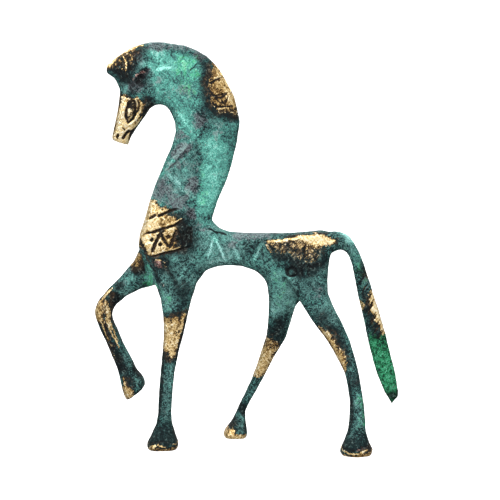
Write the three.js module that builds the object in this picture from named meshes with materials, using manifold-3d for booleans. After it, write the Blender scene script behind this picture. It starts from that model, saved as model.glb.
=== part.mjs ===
// A horse in the Greek geometric manner, cast in bronze as one piece: a thin arched neck with a crest,
// a slim barrel, four splayed legs with one foreleg raised, a long flat tail and chiselled ornament.
// It faces -X, its left side faces -Y, and three hooves stand on the ground at z = 0.
import * as THREE from "three";
import { mergeVertices } from "three/addons/utils/BufferGeometryUtils.js";
import Module from "manifold-3d";

const wasm = await Module();
wasm.setup();

// Driving dimensions, in millimetres
const HEIGHT = 145; // from the soles to the top of the crest

// Thickness from side to side
const CREST_TIP = 3.6;
const HEAD = 7.4;
const NECK = 8.2;
const CHEST = 9.8;
const BARREL = 9.2;
const RUMP = 9.4;
const CHEEK = 6.8;
const LIPS = 5.2;
const SHOULDER = 8.2;
const THIGH = 8;
const KNEE = 5.8;
const SHANK = 4.8;
const PASTERN = 5.4;
const HOOF = 11.6;
const HIND_HOOF = 10.8;
const TAIL_ROOT = 6.4;
const TAIL = 4.2;
const TAIL_TIP = 2;

// How far the middle of each hoof stands out of the horse's middle plane
const NEAR_FORE_OUT = 4.8;
const RAISED_OUT = 5.6;
const NEAR_HIND_OUT = 11.8;
const FAR_HIND_OUT = 9.6;

// Chisel work
const GROOVE_WIDTH = 1;
const GROOVE_DEPTH = 0.6;
const FINE_WIDTH = 0.7;
const FINE_DEPTH = 0.35;
const DOT_WIDTH = 1.5;
const DOT_DEPTH = 0.7;
const CUTTER_RISE = 0.12; // how far a cutter's widest line stands proud of the surface
const TIP_SHARE = 0.35; // the size of a stroke's tips as a share of its middle

// The side view is drawn on a grid of hundredths of the height, x towards the tail and z up.
const GRID = HEIGHT / 100;

const NEAR = -1;
const FAR = 1;

// How finely the forms are faceted
const BEND_PER_SECTION = 0.24; // radians
const STROKE_STEP = 5; // millimetres
const CURVE_STEPS = 4; // the fewest segments of a curved stroke
const STRAIGHT_STEPS = 2; // the fewest segments of a straight one
const MERGE_DISTANCE = 1e-4; // millimetres

// The heights of the straight back and of the belly at the barrel's middle, on that grid
const BACK_LINE = 53.4;
const BELLY_LINE = 45.3;

// Each limb is a row of stations. A station holds the leading edge (x, z), the trailing edge (x, z),
// how far the limb's middle stands out of the middle plane, the thickness, and the share of that
// thickness that is lost at the leading edge.

// The crest's tip, the head, the neck, the chest and the standing foreleg
const FRONT = [
  [-33.6, 94.3, -33.6, 92.6, 0, CREST_TIP * 0.6, 0.3],
  [-31.4, 96.2, -31.6, 91.1, 0, CREST_TIP, 0.3],
  [-28.5, 98.2, -30.2, 88, 0, CREST_TIP * 1.4, 0.4],
  [-24.6, 99.7, -27.8, 85.6, 0, HEAD, 0.5],
  [-20, 100, -23.6, 84.8, 0, HEAD, 0.5],
  [-14.8, 99.2, -20.8, 84.9, 0, HEAD, 0.5],
  [-9.6, 96.7, -19.3, 84.4, 0, HEAD, 0.5],
  [-5.8, 92.5, -18.2, 82.7, 0, NECK, 0.5],
  [-2.8, 86.7, -17.3, 80.5, 0, NECK, 0.5],
  [-1.5, 80.8, -17.2, 78.3, 0, NECK, 0.5],
  [-2.2, 75.9, -18.2, 74.9, 0, NECK, 0.45],
  [-3.5, 70.5, -20.1, 70.5, 0, NECK, 0.4],
  [-5, 65.8, -22.1, 65.8, 0, NECK, 0.35],
  [-7.1, 61.2, -23.7, 61.2, 0, NECK * 1.05, 0.25],
  [-8.3, 57.4, -25, 56.7, 0, CHEST, 0.15],
  [-8.6, 54.2, -26.2, 53.2, 0, CHEST, 0],
  [-8.6, 51, -26.5, 50.2, -0.12, CHEST, 0],
  [-8.8, 47.6, -25.2, 46.7, -0.24, SHOULDER, 0],
  [-9.9, 44.4, -23.6, 43.5, -0.33, SHOULDER * 0.95, 0],
  [-12.2, 41.2, -22.1, 40.3, -0.4, SHOULDER * 0.85, 0],
  [-13.5, 37, -21, 37, -0.48, SHOULDER * 0.75, 0],
  [-14.7, 32.6, -20.5, 32.6, -0.56, KNEE, 0],
  [-15.7, 28.1, -20.4, 28.1, -0.63, KNEE * 0.94, 0],
  [-16.9, 24, -20.7, 24, -0.7, SHANK, 0],
  [-17.8, 19.5, -21.2, 19.5, -0.77, SHANK, 0],
  [-18.4, 14.5, -21.7, 14.5, -0.85, SHANK, 0],
  [-18.7, 8.9, -21.9, 8.9, -0.94, SHANK, 0],
  [-18.4, 5.9, -22.5, 5.9, -0.98, PASTERN, 0],
  [-17.5, 2.8, -23.8, 2.8, -1, HOOF * 0.85, 0],
  [-16.9, 1, -24.8, 1, -1, HOOF, 0],
  [-17.1, 0, -24.6, 0, -1, HOOF * 0.95, 0],
].map((s) => standOut(s, NEAR_FORE_OUT));

// The face and the muzzle
const MUZZLE = [
  [-28.4, 93, -19, 88.5, 0, CHEEK * 0.9, 0],
  [-30.5, 89.6, -20.8, 85.6, 0, CHEEK, 0],
  [-30.6, 87.1, -23.2, 84, 0, CHEEK, 0],
  [-31, 84.2, -24.6, 81.9, 0, CHEEK, 0],
  [-31.8, 80.8, -26.3, 79.6, 0, CHEEK * 0.9, 0],
  [-32.5, 77.6, -27.9, 77, 0, LIPS, 0],
  [-32.7, 76.5, -28.6, 75.1, 0, LIPS, 0],
];

const RAISED_FORELEG = [
  [-24.6, 52, -15, 46.6, 0.05, SHOULDER * 0.6, 0],
  [-26.4, 49.4, -19, 41.8, 0.18, SHOULDER * 0.75, 0],
  [-27.9, 46.1, -23.2, 39.9, 0.42, SHOULDER * 0.8, 0],
  [-31, 42.2, -26.1, 39, 0.65, SHOULDER * 0.75, 0],
  [-34.1, 39.1, -29.5, 37.3, 0.75, KNEE, 0],
  [-36.8, 35.9, -32.3, 34.9, 0.85, KNEE, 0],
  [-37.8, 33, -33.3, 32.8, 0.9, KNEE, 0],
  [-37.3, 30.5, -33.1, 30.5, 0.93, KNEE, 0],
  [-36, 27.3, -32, 27.9, 0.95, SHANK, 0],
  [-34.6, 24, -30.7, 24.6, 0.96, SHANK, 0],
  [-33.3, 20.7, -28.8, 21.2, 0.98, SHANK, 0],
  [-32.3, 18, -27.4, 18.1, 1, PASTERN, 0],
  [-31.7, 15.2, -26, 16.2, 1, HOOF * 0.8, 0],
  [-31.1, 12.5, -25.4, 14.4, 1, HOOF * 0.95, 0],
  [-30.2, 10.4, -25.8, 13.6, 1, HOOF * 0.9, 0],
].map((s) => standOut(s, RAISED_OUT));

// The thin wall between the raised foreleg's root and the edge of the chest
const WEB = [
  [-26.1, 52.4, -22.4, 52.6, 0, SHOULDER * 0.8, 0.6],
  [-26.5, 49.6, -21.4, 49, 0, SHOULDER, 0.7],
  [-25.7, 46, -20.6, 45, 0, SHOULDER, 0.75],
  [-24.9, 42.6, -20.2, 41.6, 0, SHOULDER * 0.95, 0.75],
  [-23.9, 40.9, -20.2, 40.2, 0, SHOULDER * 0.8, 0.7],
];

// The barrel, the rump and the far hind leg
const BACK = [
  [-15, 60.5, -15.6, 40.6, 0, BARREL * 0.85, 0],
  [-10.8, 58.6, -12.8, 42.2, 0, BARREL, 0],
  [-8.4, 56.4, -9.9, 44.2, 0, BARREL, 0],
  [-6.9, 54.7, -6.9, 45.3, 0, BARREL, 0],
  [-4.2, 53.7, -4, 45.6, 0, BARREL, 0],
  [-0.5, BACK_LINE, -1, BELLY_LINE, 0, BARREL, 0],
  [4, BACK_LINE, 1.8, 44.2, 0, BARREL, 0],
  [9, BACK_LINE, 4, 42.5, 0, BARREL, 0],
  [14, 53.6, 5.1, 40.2, 0.03, RUMP, 0],
  [18.6, 54, 5.4, 37.6, 0.08, RUMP, 0],
  [21.2, 52.6, 5.4, 35.1, 0.14, RUMP * 0.92, 0],
  [20, 47, 5.3, 32.8, 0.22, THIGH, 0],
  [16.6, 40.6, 5.2, 30.8, 0.32, THIGH * 0.95, 0],
  [12.2, 35, 5.1, 28.9, 0.43, THIGH * 0.88, 0],
  [11, 30.8, 4.9, 26.8, 0.52, THIGH * 0.8, 0],
  [9.8, 26.4, 4.1, 24, 0.62, KNEE, 0],
  [7.2, 21.8, 2.9, 20, 0.72, KNEE * 0.9, 0],
  [5, 17.5, 1.4, 15.6, 0.8, SHANK, 0],
  [3, 13.5, -0.2, 11.8, 0.88, SHANK * 0.9, 0],
  [0.8, 9.4, -1.7, 8.6, 0.94, SHANK * 0.9, 0],
  [-0.4, 6.6, -2.8, 6, 0.98, SHANK, 0],
  [-0.3, 4.1, -3.8, 3.9, 1, HIND_HOOF * 0.65, 0],
  [0, 1.8, -5.3, 1.8, 1, HIND_HOOF * 0.92, 0],
  [0.1, 0.8, -5.9, 0.8, 1, HIND_HOOF, 0],
  [0, 0, -5.7, 0, 1, HIND_HOOF * 0.95, 0],
].map((s) => standOut(s, FAR_HIND_OUT));

const NEAR_HIND_LEG = [
  [12.4, 51.4, 20.6, 52, -0.02, THIGH * 0.75, 0],
  [10.2, 47.6, 20.7, 49, -0.09, THIGH, 0],
  [9.4, 43.8, 20.1, 45.6, -0.16, THIGH, 0],
  [10.9, 40.2, 19.9, 42.4, -0.22, THIGH, 0],
  [13.1, 36.7, 19.9, 38.8, -0.29, THIGH * 0.95, 0],
  [15.5, 32.9, 21.5, 35.2, -0.38, THIGH * 0.88, 0],
  [18.3, 29.3, 23.7, 31, -0.47, THIGH * 0.8, 0],
  [20.7, 25.8, 25.4, 27, -0.57, KNEE, 0],
  [22.5, 22.6, 26.7, 22.9, -0.66, KNEE * 0.95, 0],
  [23.9, 19.7, 27.4, 19.9, -0.73, KNEE * 0.9, 0],
  [24.8, 16.3, 28.1, 16, -0.8, SHANK, 0],
  [25.2, 12.6, 28.6, 12.6, -0.87, SHANK, 0],
  [25.1, 8.7, 29, 8.7, -0.94, SHANK, 0],
  [24.7, 5.5, 29.2, 5.5, -0.98, PASTERN, 0],
  [23.8, 3, 30, 3, -1, HOOF * 0.85, 0],
  [22.8, 1, 31, 1, -1, HOOF, 0],
  [23, 0, 30.8, 0, -1, HOOF * 0.95, 0],
].map((s) => standOut(s, NEAR_HIND_OUT));

const TAIL_STRIP = [
  [17.6, 53.2, 17.6, 49.4, 0, TAIL_ROOT * 0.8, 0],
  [21.6, 54, 20.6, 48.4, 0, TAIL_ROOT, 0],
  [24.5, 53.1, 22.6, 49.3, 0, TAIL_ROOT, 0],
  [26.3, 51, 24.1, 48.9, 0, TAIL_ROOT * 0.9, 0],
  [27.6, 48.7, 25, 47.6, 0, TAIL_ROOT * 0.8, 0],
  [28.8, 45.7, 25.8, 45.1, 0, TAIL, 0],
  [30, 42, 26.5, 41.6, 0, TAIL, 0],
  [31.6, 37.2, 27.5, 36.8, 0, TAIL, 0],
  [33.2, 32.1, 28.7, 31.8, 0, TAIL, 0],
  [34.6, 27.3, 29.8, 26.7, 0, TAIL, 0],
  [35.9, 22.2, 31.1, 21.6, 0, TAIL, 0],
  [37, 17.9, 32.5, 17.1, 0, TAIL * 0.9, 0],
  [37.7, 13.6, 34.3, 13.1, 0, TAIL * 0.8, 0],
  [37.6, 11.9, 35.2, 11.7, 0, TAIL_TIP * 1.4, 0],
  [36.6, 11.2, 35.7, 10.9, 0, TAIL_TIP, 0],
  [36.3, 10.1, 35.8, 10, 0, TAIL_TIP * 0.6, 0],
];

// The ornament lies on the same grid. A line is a row of [x, z] points.
const CHEST_BAND_TOP = [[-24.8, 53.7], [-22.6, 54.3], [-20.1, 55.2], [-17.9, 55.8], [-15, 57.4]];
const CHEST_BAND_FOOT = [[-23.4, 48.2], [-19.7, 49.1], [-16.5, 50], [-13.1, 51.2]];
const CHEST_BAND_END = [[-13.3, 55.8], [-13.6, 51.4]];
const CHEST_ZIGZAG = [[-23.1, 49.2], [-21.2, 54.1], [-18.6, 50.4], [-17, 54.9], [-15.1, 50.8], [-13.8, 55.8]];
const COLLAR = [[-23.8, 57.5], [-21.8, 57.9], [-19.4, 59], [-16.7, 60.1]];

const NECK_ZIGZAG = [[-18.4, 86.3], [-10.6, 76], [-19.3, 69], [-14, 61.9]];
const BARREL_ZIGZAG = { from: -11.4, step: 3, folds: 6, inset: 1.6 };

// The mane: strokes in from the crest's edge
const MANE = [
  [[-31.5, 94.4], [-29.8, 91.5]],
  [[-30.4, 95.3], [-28.4, 91.5]],
  [[-28.8, 96.4], [-27.3, 92.9]],
  [[-27, 97.3], [-26.2, 94.6]],
  [[-23.2, 98.4], [-22.6, 95.7]],
  [[-20.8, 98.8], [-20.9, 92.6]],
  [[-17.4, 98.4], [-17.8, 96.2]],
  [[-14.4, 97.4], [-15.7, 95.3]],
  [[-11, 95.2], [-13.6, 93]],
  [[-6.3, 91.6], [-9.1, 90.3]],
  [[-4.4, 87.9], [-7.6, 87.1]],
  [[-4.4, 84.5], [-7.6, 84.7]],
  [[-2.8, 80.7], [-5.7, 81.4]],
  [[-3.3, 76.8], [-6, 77.5]],
];

// A loop is half as long as its reach and half as wide as its width, and leans from the x axis by
// an angle in degrees. Its sharpness is 1 for an ellipse and 2 for a leaf.
const EYE = { at: [-25.1, 92], reach: 3.1, width: 1.2, lean: 46, sharpness: 2 };
const PUPIL = [-25.2, 91.8];
const CHEEK_LEAF = { at: [-27.6, 83.5], reach: 2.7, width: 1.15, lean: 74, sharpness: 2 };
const JAW_LEAF = { at: [-25.3, 84.4], reach: 2, width: 0.6, lean: 77, sharpness: 2 };
const MOUTH = [[-30.2, 76.5], [-29.3, 77.5], [-27.8, 79]];
const NOSTRIL = [[-31.6, 77.1], [-31, 78.2]];

const NECK_RING = { at: [-14.8, 88.2], reach: 1.05, width: 1.05, lean: 0, sharpness: 1 };
const RUMP_RING = { at: [11, 44.3], reach: 1.05, width: 1.05, lean: 0, sharpness: 1 };
const RUMP_STROKES = [
  [[13.4, 46.6], [13.7, 43.2]],
  [[15.1, 46.6], [15.1, 43.6]],
  [[14.1, 51.1], [14.1, 47.8]],
];
const TAIL_STROKES = { from: [29, 43.6], to: [27.4, 41], step: [0.75, -2.55], count: 10 };

/** Turns a station's share of a leg's splay into millimetres. */
function standOut(station, splay) {
  const placed = [...station];
  placed[4] *= splay;
  return placed;
}

/** x to the power p that keeps the sign of x. */
function signedPower(x, p) {
  return Math.sign(x) * Math.abs(x) ** p;
}

/**
 * Lofts a closed mesh along edges given as curves of (x, out, z) and sizes as a curve of
 * (thickness, loss at the leading edge, 0). Each section is a superellipse between the two edges,
 * and places lists the curves' parameters at the sections.
 */
function loft(lead, trail, sizes, places, { around, square }) {
  const positions = [];
  const index = [];
  const rings = places.length - 1;
  for (const t of places) {
    const a = lead.getPoint(t);
    const b = trail.getPoint(t);
    const size = sizes.getPoint(t);
    for (let k = 0; k < around; k++) {
      const angle = (2 * Math.PI * k) / around;
      const along = signedPower(Math.cos(angle), 2 / square);
      const side = signedPower(Math.sin(angle), 2 / square);
      const share = (1 + along) / 2;
      const point = b.clone().lerp(a, share);
      point.y += (side * size.x * (1 - size.y * share)) / 2;
      positions.push(point.x, point.y, point.z);
    }
  }
  for (let i = 0; i < rings; i++) {
    for (let k = 0; k < around; k++) {
      const next = (k + 1) % around;
      const low = i * around;
      const high = low + around;
      index.push(low + k, high + next, low + next, low + k, high + k, high + next);
    }
  }
  const last = rings * around;
  for (let k = 1; k < around - 1; k++) {
    index.push(0, k, k + 1, last, last + k + 1, last + k);
  }
  const geometry = new THREE.BufferGeometry();
  geometry.setAttribute("position", new THREE.Float32BufferAttribute(positions, 3));
  geometry.setIndex(index);
  return geometry;
}

/** A smooth curve through a list of vectors. */
function smooth(points) {
  return new THREE.CatmullRomCurve3(points, false, "centripetal");
}

/** The places of a limb's sections: one at each station, and more between two where an edge bends. */
function sectionPlaces(edges, spans) {
  const places = [0];
  for (let i = 0; i < spans; i++) {
    const bends = edges.map((edge) => edge.getTangent(i / spans).angleTo(edge.getTangent((i + 1) / spans)));
    const count = Math.max(1, Math.round(Math.max(...bends) / BEND_PER_SECTION));
    for (let k = 1; k <= count; k++) {
      places.push((i + k / count) / spans);
    }
  }
  return places;
}

/** A limb lofted through its stations, which are in grid units but for the out and thickness values. */
function limb(stations, { around = 12, square = 2.7 } = {}) {
  const lead = smooth(stations.map(([x, z, , , out]) => new THREE.Vector3(x * GRID, out, z * GRID)));
  const trail = smooth(stations.map(([, , x, z, out]) => new THREE.Vector3(x * GRID, out, z * GRID)));
  const sizes = smooth(stations.map(([, , , , , thick, loss]) => new THREE.Vector3(thick, loss, 0)));
  const places = sectionPlaces([lead, trail], stations.length - 1);
  return loft(lead, trail, sizes, places, { around, square });
}

/** A geometry as a solid that can be joined and cut. */
function solid(geometry) {
  const bare = new THREE.BufferGeometry();
  bare.setAttribute("position", geometry.getAttribute("position"));
  bare.setIndex(geometry.getIndex());
  const merged = mergeVertices(bare, MERGE_DISTANCE);
  const made = new wasm.Manifold(
    new wasm.Mesh({
      numProp: 3,
      vertProperties: merged.attributes.position.array,
      triVerts: new Uint32Array(merged.index.array),
    }),
  );
  return made.volume() < 0 ? solid(flipped(merged)) : made;
}

/** The same geometry with its faces turned round. */
function flipped(geometry) {
  const turned = geometry.clone();
  turned.setIndex([...geometry.index.array].reverse());
  return turned;
}

/** A solid as a three.js geometry. */
function geometryOf(made) {
  const mesh = made.getMesh();
  const positions = [];
  for (let i = 0; i < mesh.numVert; i++) {
    const start = i * mesh.numProp;
    positions.push(...mesh.vertProperties.subarray(start, start + 3));
  }
  const geometry = new THREE.BufferGeometry();
  geometry.setAttribute("position", new THREE.Float32BufferAttribute(positions, 3));
  geometry.setIndex([...mesh.triVerts]);
  return geometry;
}

/** Finds how far out the surface lies on one side of the horse, under a point of the side view. */
function surfaceFinder(body) {
  const skin = new THREE.Mesh(body, new THREE.MeshBasicMaterial());
  const caster = new THREE.Raycaster();
  return (x, z, side) => {
    const from = new THREE.Vector3(x, side * HEIGHT, z);
    caster.set(from, new THREE.Vector3(0, -side, 0));
    const hit = caster.intersectObject(skin)[0];
    if (!hit) {
      throw new Error(`no surface under the point ${x}, ${z}`);
    }
    return hit.point.y;
  };
}

/** A V-shaped chisel stroke along grid points, pressed into the surface, narrow at both tips. */
function stroke(points, side, surface, width = GROOVE_WIDTH, depth = GROOVE_DEPTH) {
  const path = new THREE.SplineCurve(points.map(([x, z]) => new THREE.Vector2(x * GRID, z * GRID)));
  const fewest = points.length > 2 ? CURVE_STEPS : STRAIGHT_STEPS;
  const count = Math.max(fewest, Math.round(path.getLength() / STROKE_STEP));
  const lead = [];
  const trail = [];
  const sizes = [];
  for (let i = 0; i <= count; i++) {
    const t = i / count;
    const at = path.getPoint(t);
    const across = path.getTangent(t).rotateAround(new THREE.Vector2(), Math.PI / 2);
    const fullness = i === 0 || i === count ? TIP_SHARE : 1;
    const reach = across.multiplyScalar((width * fullness) / 2);
    const y = surface(at.x, at.y, side) + side * CUTTER_RISE;
    lead.push(new THREE.Vector3(at.x + reach.x, y, at.y + reach.y));
    trail.push(new THREE.Vector3(at.x - reach.x, y, at.y - reach.y));
    sizes.push(new THREE.Vector3(2 * (depth * fullness + CUTTER_RISE), 0, 0));
  }
  const places = lead.map((_, i) => i / count);
  return solid(loft(smooth(lead), smooth(trail), smooth(sizes), places, { around: 4, square: 1 }));
}

/** A drilled dot at a grid point. */
function dot([x, z], side, surface) {
  const drill = new THREE.CylinderGeometry(DOT_WIDTH / 2, DOT_WIDTH / 4, 2 * DOT_DEPTH, 6);
  drill.rotateX((-side * Math.PI) / 2);
  drill.translate(x * GRID, surface(x * GRID, z * GRID, side), z * GRID);
  return solid(drill);
}

/** The upper and lower arcs of a loop. */
function arcs({ at, reach, width, lean, sharpness }) {
  const turn = THREE.MathUtils.degToRad(lean);
  const middle = new THREE.Vector2(...at);
  const place = (way, angle) =>
    new THREE.Vector2(reach * Math.cos(angle), way * width * Math.sin(angle) ** sharpness)
      .rotateAround(new THREE.Vector2(), turn)
      .add(middle)
      .toArray();
  const angles = Array.from({ length: CURVE_STEPS + 1 }, (_, i) => (Math.PI * i) / CURVE_STEPS);
  return [-1, 1].map((way) => angles.map((angle) => place(way, angle)));
}

/** A folded line as its straight strokes. */
function folds(points) {
  return points.slice(1).map((point, i) => [points[i], point]);
}

/** The middle of each triangle that a folded line makes. */
function middles(points) {
  return points.slice(2).map((point, i) => {
    const corners = [points[i], points[i + 1], point];
    return [0, 1].map((axis) => corners.reduce((sum, corner) => sum + corner[axis], 0) / corners.length);
  });
}

/** The barrel's even zigzag, set in from the belly and the back. */
function barrelZigzag({ from, step, folds: count, inset }) {
  const heights = [BELLY_LINE + inset, BACK_LINE - inset];
  return Array.from({ length: count + 1 }, (_, i) => [from + step * i, heights[i % 2]]);
}

/** The even slanted strokes down the tail. */
function tailStrokes({ from, to, step, count }) {
  const moved = (point, i) => [point[0] + step[0] * i, point[1] + step[1] * i];
  return Array.from({ length: count }, (_, i) => [moved(from, i), moved(to, i)]);
}

/** The cutters that both sides of the horse share. */
function sharedCuts(side, surface) {
  const bold = [
    CHEST_BAND_TOP,
    CHEST_BAND_FOOT,
    CHEST_BAND_END,
    COLLAR,
    MOUTH,
    ...folds(CHEST_ZIGZAG),
    ...arcs(EYE),
    ...arcs(CHEEK_LEAF),
  ];
  const dots = [PUPIL, ...middles([CHEST_BAND_TOP[0], ...CHEST_ZIGZAG])];
  return [
    ...bold.map((line) => stroke(line, side, surface)),
    ...MANE.map((line) => stroke(line, side, surface)),
    ...dots.map((place) => dot(place, side, surface)),
  ];
}

/** The cutters of the finer ornament, which only the near side has. */
function nearCuts(surface) {
  const fine = [
    NOSTRIL,
    ...arcs(JAW_LEAF),
    ...arcs(NECK_RING),
    ...arcs(RUMP_RING),
    ...folds(NECK_ZIGZAG),
    ...folds(barrelZigzag(BARREL_ZIGZAG)),
    ...RUMP_STROKES,
    ...tailStrokes(TAIL_STROKES),
  ];
  return [
    ...fine.map((line) => stroke(line, NEAR, surface, FINE_WIDTH, FINE_DEPTH)),
    ...[NECK_RING, RUMP_RING].map(({ at }) => dot(at, NEAR, surface)),
  ];
}

const body = [
  limb(FRONT, { around: 18, square: 3 }),
  limb(MUZZLE),
  limb(RAISED_FORELEG),
  limb(WEB),
  limb(BACK, { around: 16, square: 3.4 }),
  limb(NEAR_HIND_LEG),
  limb(TAIL_STRIP, { around: 8 }),
]
  .map(solid)
  .reduce((whole, piece) => whole.add(piece));

const skin = surfaceFinder(geometryOf(body));
const cuts = [...sharedCuts(NEAR, skin), ...sharedCuts(FAR, skin), ...nearCuts(skin)];
const carved = cuts.reduce((whole, cut) => whole.subtract(cut), body);

const cast = geometryOf(carved);
cast.computeBoundingBox();
const middle = cast.boundingBox.getCenter(new THREE.Vector3());
cast.translate(-middle.x, -middle.y, -cast.boundingBox.min.z);

const horse = new THREE.Mesh(
  cast,
  new THREE.MeshStandardMaterial({ color: 0x3a7a70, roughness: 0.55, metalness: 0.6 }),
);
horse.name = "horse";

const group = new THREE.Group();
group.add(horse);
export default group;
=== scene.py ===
"""A small bronze horse in the Greek geometric manner, cast in one piece and patinated.

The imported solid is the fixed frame. A finer skin is grown from it, chiselled along the lines of the
ornament, roughened as a sand casting is, and dressed with verdigris over a dark ground that is
rubbed through to the bright metal on the crest, muzzle, chest, rump, knees and hooves.

The side view is drawn on a grid of hundredths of the horse's height, x towards the tail and z up.
"""

from __future__ import annotations

import logging
import math
from collections.abc import Iterable, Mapping, Sequence
from dataclasses import dataclass, field, replace
from enum import Enum
from typing import NamedTuple

import bpy
import numpy as np
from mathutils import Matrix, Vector, noise

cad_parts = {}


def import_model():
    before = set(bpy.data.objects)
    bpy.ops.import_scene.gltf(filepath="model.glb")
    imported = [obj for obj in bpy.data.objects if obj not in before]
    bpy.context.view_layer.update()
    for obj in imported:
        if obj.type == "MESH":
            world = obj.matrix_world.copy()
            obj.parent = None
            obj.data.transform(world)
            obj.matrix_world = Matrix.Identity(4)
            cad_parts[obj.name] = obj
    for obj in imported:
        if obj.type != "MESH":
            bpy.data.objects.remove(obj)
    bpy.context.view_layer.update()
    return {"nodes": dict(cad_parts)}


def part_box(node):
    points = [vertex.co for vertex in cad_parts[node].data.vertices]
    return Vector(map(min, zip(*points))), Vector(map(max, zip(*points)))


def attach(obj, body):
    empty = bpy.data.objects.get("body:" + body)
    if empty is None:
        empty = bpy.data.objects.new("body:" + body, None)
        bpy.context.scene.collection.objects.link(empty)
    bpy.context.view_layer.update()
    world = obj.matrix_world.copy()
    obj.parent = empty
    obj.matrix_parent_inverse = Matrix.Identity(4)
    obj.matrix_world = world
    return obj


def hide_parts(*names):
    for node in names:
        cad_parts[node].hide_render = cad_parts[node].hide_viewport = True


LOG = logging.getLogger("horse")
MILLIMETRE = 0.001
# the seed of all drift, so that every run strays in the same way
DRIFT_SEED = 3
# the least length that anything is divided by
TINY = 1e-12
# how squarely a face looks sideways, from 0 to 1, before it counts as one of a flank
FLANK = 0.2

Place = tuple[float, float]
Path = tuple[Place, ...]
Point = tuple[float, float, float]
Colour = tuple[float, float, float]


class Side(Enum):
    """The two flanks of the horse, by the sign of y."""

    NEAR = -1.0
    FAR = 1.0


class Filling(Enum):
    """What lies in the bottom of a chiselled line."""

    SOOT = "soot"
    VERDIGRIS = "verdigris"
    BARE = "bare"


def smooth_step(low: float, high: float, value: np.ndarray) -> np.ndarray:
    """Rises from 0 at low to 1 at high without a corner.

    Args:
        low: Where the rise starts.
        high: Where it ends.
        value: The values to map.

    Returns:
        The share of the rise for each value.
    """
    share = np.clip((value - low) / (high - low), 0.0, 1.0)
    return share * share * (3.0 - 2.0 * share)


def tapered(along: np.ndarray, blunt: float, run: float) -> np.ndarray:
    """Narrows a stroke towards both of its tips.

    Args:
        along: How far along the stroke each place lies, from 0 to 1.
        blunt: The share of its width that is left at the tips.
        run: The share of its length over which it narrows.

    Returns:
        The share of the full width at each place.
    """
    return blunt + (1.0 - blunt) * smooth_step(0.0, run, np.minimum(along, 1 - along))


def wandering(points: np.ndarray, size: float) -> np.ndarray:
    """Makes offsets that drift smoothly from point to point, as a hand does.

    Args:
        points: Points in metres, one in each row.
        size: The length over which the drift changes, in metres.

    Returns:
        An offset between -1 and 1 along x and along z for each point.
    """
    noise.seed_set(DRIFT_SEED)
    drift = np.array([noise.noise_vector(Vector(point)) for point in (points / size).tolist()])
    return drift[:, (0, 2)]


def curved(path: Path, steps: int = 8) -> Path:
    """Turns a row of places into an even Catmull-Rom curve.

    Args:
        path: The places that the curve runs through.
        steps: Points for each span.

    Returns:
        The curve as a finer row of places.
    """
    points = np.array([path[0], *path, path[-1]], float)
    fine = []
    for before, start, end, after in zip(points, points[1:], points[2:], points[3:]):
        for share in np.arange(steps) / steps:
            pull = (end - before) * 0.5
            push = (after - start) * 0.5
            cube = (2 * share**3 - 3 * share**2 + 1) * start + (3 * share**2 - 2 * share**3) * end
            fine.append(cube + (share**3 - 2 * share**2 + share) * pull + (share**3 - share**2) * push)
    fine.append(points[-1])
    return tuple(map(tuple, fine))


def folds(path: Path) -> tuple[Path, ...]:
    """Splits a folded line into its straight strokes."""
    return tuple(zip(path, path[1:]))


def middles(path: Path) -> Path:
    """Finds the middle of each triangle that a folded line makes."""
    return tuple(tuple(np.mean(corners, axis=0)) for corners in zip(path, path[1:], path[2:]))


@dataclass(frozen=True)
class Loop:
    """A closed loop of the ornament, half as long as its reach and half as wide as its width.

    Its lean is its angle from the x axis in degrees, and its sharpness 1 for an ellipse, 2 for a leaf.
    """

    at: Place
    reach: float
    width: float
    lean: float = 0.0
    sharpness: float = 1.0
    steps: int = 20

    def outline(self) -> Path:
        """Walks round the loop, in its number of steps for each of its two arcs.

        Returns:
            The closed outline, without its first point again at the end.
        """
        turn = math.radians(self.lean)
        path = []
        for i in range(2 * self.steps):
            angle = math.pi * i / self.steps
            along = self.reach * math.cos(angle)
            rise = abs(math.sin(angle)) ** self.sharpness
            across = math.copysign(self.width * rise, math.sin(angle))
            x = self.at[0] + along * math.cos(turn) - across * math.sin(turn)
            z = self.at[1] + along * math.sin(turn) + across * math.cos(turn)
            path.append((x, z))
        return tuple(path)

    def ring(self) -> Path:
        """Gives the outline with its first point again at the end."""
        outline = self.outline()
        return (*outline, outline[0])


@dataclass(frozen=True)
class Grid:
    """The side view's grid in the frame: its unit and where its origin lies along x, in metres."""

    unit: float
    origin: float

    @classmethod
    def of(cls, low: Vector, high: Vector) -> Grid:
        """Works the grid out from the solid's box, which runs from the raised knee to the tail."""
        knee, tail = -37.8, 37.75
        unit = (high.z - low.z) / 100.0
        return cls(unit=unit, origin=(low.x + high.x) / 2 - unit * (knee + tail) / 2)

    def side_view(self, points: np.ndarray) -> np.ndarray:
        """Turns points in metres into places of the side view."""
        return np.stack(((points[:, 0] - self.origin) / self.unit, points[:, 2] / self.unit), axis=1)


def gap_to(path: Path, places: np.ndarray) -> tuple[np.ndarray, np.ndarray]:
    """Measures how far places lie from a folded line.

    Args:
        path: The line.
        places: The places, one in each row.

    Returns:
        Each place's distance from the line, and how far along the line's length its nearest point is.
    """
    corners = np.array(path, float)
    spans = np.diff(corners, axis=0)
    lengths = np.linalg.norm(spans, axis=1)
    whole = max(lengths.sum(), TINY)
    gap = np.full(len(places), np.inf)
    along = np.zeros(len(places))
    passed = 0.0
    for start, span, length in zip(corners, spans, lengths):
        share = np.clip((places - start) @ span / max(length**2, TINY), 0.0, 1.0)
        distance = np.linalg.norm(places - start - share[:, None] * span, axis=1)
        nearer = distance < gap
        gap[nearer] = distance[nearer]
        along[nearer] = ((passed + share * length) / whole)[nearer]
        passed += length
    return gap, along


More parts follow.
